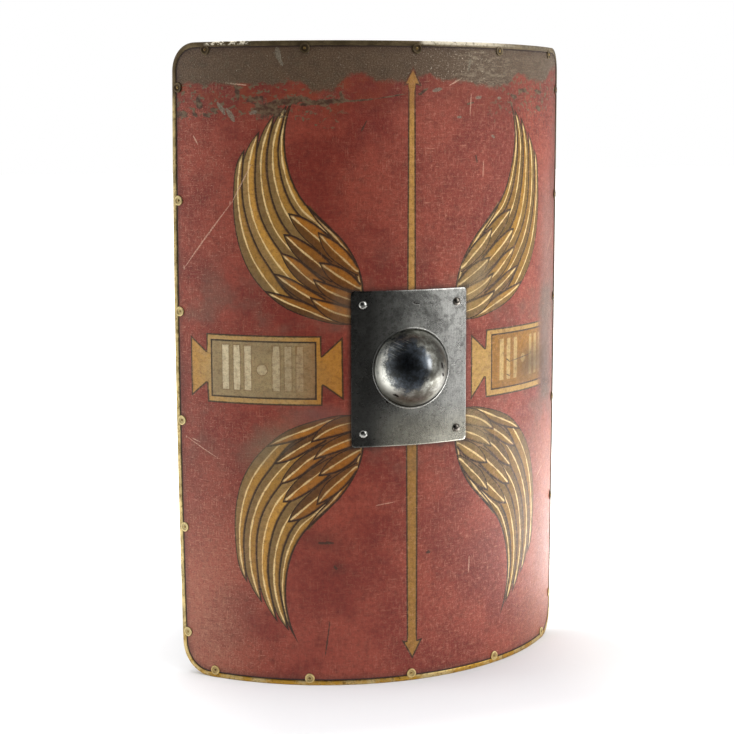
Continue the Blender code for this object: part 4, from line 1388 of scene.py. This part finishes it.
# Wood
def wood(name, pale, deep, strip):
    """Bare wood: upright grain in strips where strip is their width, or grain along a bar where it is 0."""
    g = material_graph(name)
    here = g.node("TexCoord", out="Object")
    x, y, z = here.split()
    if strip:
        s = g.math("ARCTAN2", x, AXIS_Y - y) * FACE
        laid = (s + 10 * strip) / strip
        number = g.math("FLOOR", laid)
        gap = abs(g.math("FRACT", laid) - 0.5).fit(0.486, 0.496)
        shade = g.node("TexWhiteNoise", {"W": number}, noise_dimensions="1D") * 0.22
        shift = g.node("CombineXYZ", {0: number * 0.37, 1: number, 2: number * 0.71})
        where = g.node("CombineXYZ", {0: s, 1: 0.0, 2: z}).vector("ADD", shift)
    else:
        gap, shade = 0.0, 0.0
        where = g.node("CombineXYZ", {0: z, 1: y, 2: x})
    grain = where.scaled(1, 1, 0.06).noise(60, 5, 0.62, 0.6)
    pores = where.scaled(1, 1, 0.03).noise(420, 3, 0.6)
    colour = g.tones(grain.fit(0.3, 0.7), pale, deep)
    colour = g.coat(colour, pores.fit(0.52, 0.7, 0, 0.45), (52, 34, 22))
    colour = g.coat(colour, shade, (84, 56, 34))
    colour = g.coat(colour, here.noise(7, 3, 0.6).fit(0.45, 0.75, 0, 0.4), (70, 50, 36))
    colour = g.coat(colour, gap * 0.8, (34, 24, 18))
    normal = g.bump(grain * 1.0 + pores * -0.5 + gap * -2.0, 0.35, 0.0006)
    rough = (grain + pores).fit(0.7, 1.3, 0.58, 0.78, False)
    return g.finish(Base_Color=colour, Roughness=rough, Normal=normal, Specular_IOR_Level=0.35)


# Stage
FLOOR_HALF = 30
WHITE, SHADED, DARK_FRONT = (0.84, 0.84, 0.84), (0.73, 0.73, 0.745), (0.14, 0.14, 0.14)


def make_stage():
    """A plain white floor that runs into the white behind it.

    It carries a painted shadow under the shield and painted shade in front, where the light stops, and glows
    with painted light away from the shield.
    """
    g = material_graph("studio floor")
    x, y, _ = g.node("NewGeometry").split()
    far = g.math("SQRT", x * x + y * y)
    front = y.fit(-0.32, -0.80, 0, 1)
    # painted shadow under the shield
    under = y.fit(-0.35, -0.22) * abs(x + 0.03).fit(0.42, 0.2)
    pale = g.mix(under, WHITE, SHADED)
    seen = g.node("LightPath")
    # painted shade in front of the shield, seen only by reflected and bounced light
    colour = g.mix(seen, g.mix(front, pale, DARK_FRONT), pale)
    # painted light: away from the shield the floor glows, most of all to the near right
    near_right = x.fit(0.2, 0.6) * far.fit(1.1, 2.4, 1, 0)
    lit = (near_right * 4.2 + 0.75) * (1.0 - front)
    glow = far.fit(0.40, 0.9) * most(lit, seen * 1.4)
    material = g.finish(
        Base_Color=colour, Roughness=0.8, Emission_Color=(1, 1, 1), Emission_Strength=glow,
        Specular_IOR_Level=0.2,
    )
    data = bpy.data.meshes.new("floor")
    corners = box_loop(-FLOOR_HALF, -FLOOR_HALF, FLOOR_HALF, FLOOR_HALF)
    data.from_pydata([(a, b, 0) for a, b in corners], [], [(0, 1, 2, 3)])
    data.materials.append(material)
    floor = add_object("floor", data)


def area_light(name, azimuth, distance, height, size, power, aim=0.5):
    """A softbox at an azimuth in degrees: 0 is straight in front of the shield and 90 on its right."""
    turn = math.radians(azimuth)
    place = Vector((distance * math.sin(turn), -distance * math.cos(turn), height))
    data = bpy.data.lights.new(name, "AREA")
    data.shape = "RECTANGLE"
    data.size, data.size_y = size
    data.energy = power
    light = add_object(name, data)
    light.location = place
    light.rotation_euler = (Vector((0, 0, aim)) - place).to_track_quat("-Z", "Y").to_euler()
    light.visible_glossy = False


# How bright the studio is in each direction round the shield, in degrees and strength
ROOM = [
    (-180, 0.7), (-110, 1.15), (-88, 0.8), (-68, 0.1), (-45, 0.0), (8, 0.0), (18, 0.15), (28, 1.1), (40, 3.2),
    (52, 3.2), (66, 0.65), (110, 0.35), (180, 0.7),
]
OVERHEAD = (0.4, 0.4, 0.4)


def make_lights():
    world = bpy.data.worlds.new("studio")
    bpy.context.scene.world = world
    g = Graph(world)
    x, y, z = g.node("TexCoord").split()
    azimuth = g.math("ARCTAN2", x, y * -1.0)
    stops = [((degrees + 180) / 360, strength) for degrees, strength in ROOM]
    round_about = g.ramp(azimuth.fit(-math.pi, math.pi, 0, 1, False), stops, "EASE")
    room = g.mix(z.fit(0.6, 0.98), round_about, OVERHEAD)
    g.put(g.tree.nodes["Background"].inputs["Color"], g.mix(g.node("LightPath"), room, (1.0, 1.0, 1.0)))
    area_light("left softbox", -105, 2.6, 1.0, (1.2, 1.6), 24)
    area_light("right softbox", 80, 2.8, 0.2, (1.2, 1.2), 15, 0.2)
    area_light("front right softbox", 36, 2.8, 0.9, (1.2, 1.3), 29)
    area_light("top softbox", 180, 0.1, 3.0, (3.4, 2.6), 98, 0)


PLANK = 0.068
GRIP_NAIL_TONE = (104, 99, 92)


def dress_kept_solids():
    """New materials for the solids that the scene keeps as they are."""
    looks = {
        "board": wood("board wood", (132, 102, 70), (90, 66, 45), PLANK),
        "grip": wood("grip wood", (128, 88, 52), (84, 54, 32), 0),
        "grip_nail": small_iron("grip nail iron", GRIP_NAIL_TONE, GRIP_NAIL_TONE),
    }
    for node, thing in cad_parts.items():
        look = looks.get("grip_nail" if node.startswith("grip_nail") else node)
        if look:
            thing.data.materials.clear()
            thing.data.materials.append(look)


make_camera()
make_stage()
make_lights()
make_facing(painted_linen())
make_edging(brass())
make_nails(nail_bronze())
make_boss(iron())
# painted light and shade: the rivets lighter on the left, darker on the right
make_rivets(small_iron("rivet iron", (188, 188, 182), (128, 122, 114)))
dress_kept_solids()

bpy.context.scene.view_settings.view_transform = "Standard"
bpy.context.view_layer.update()
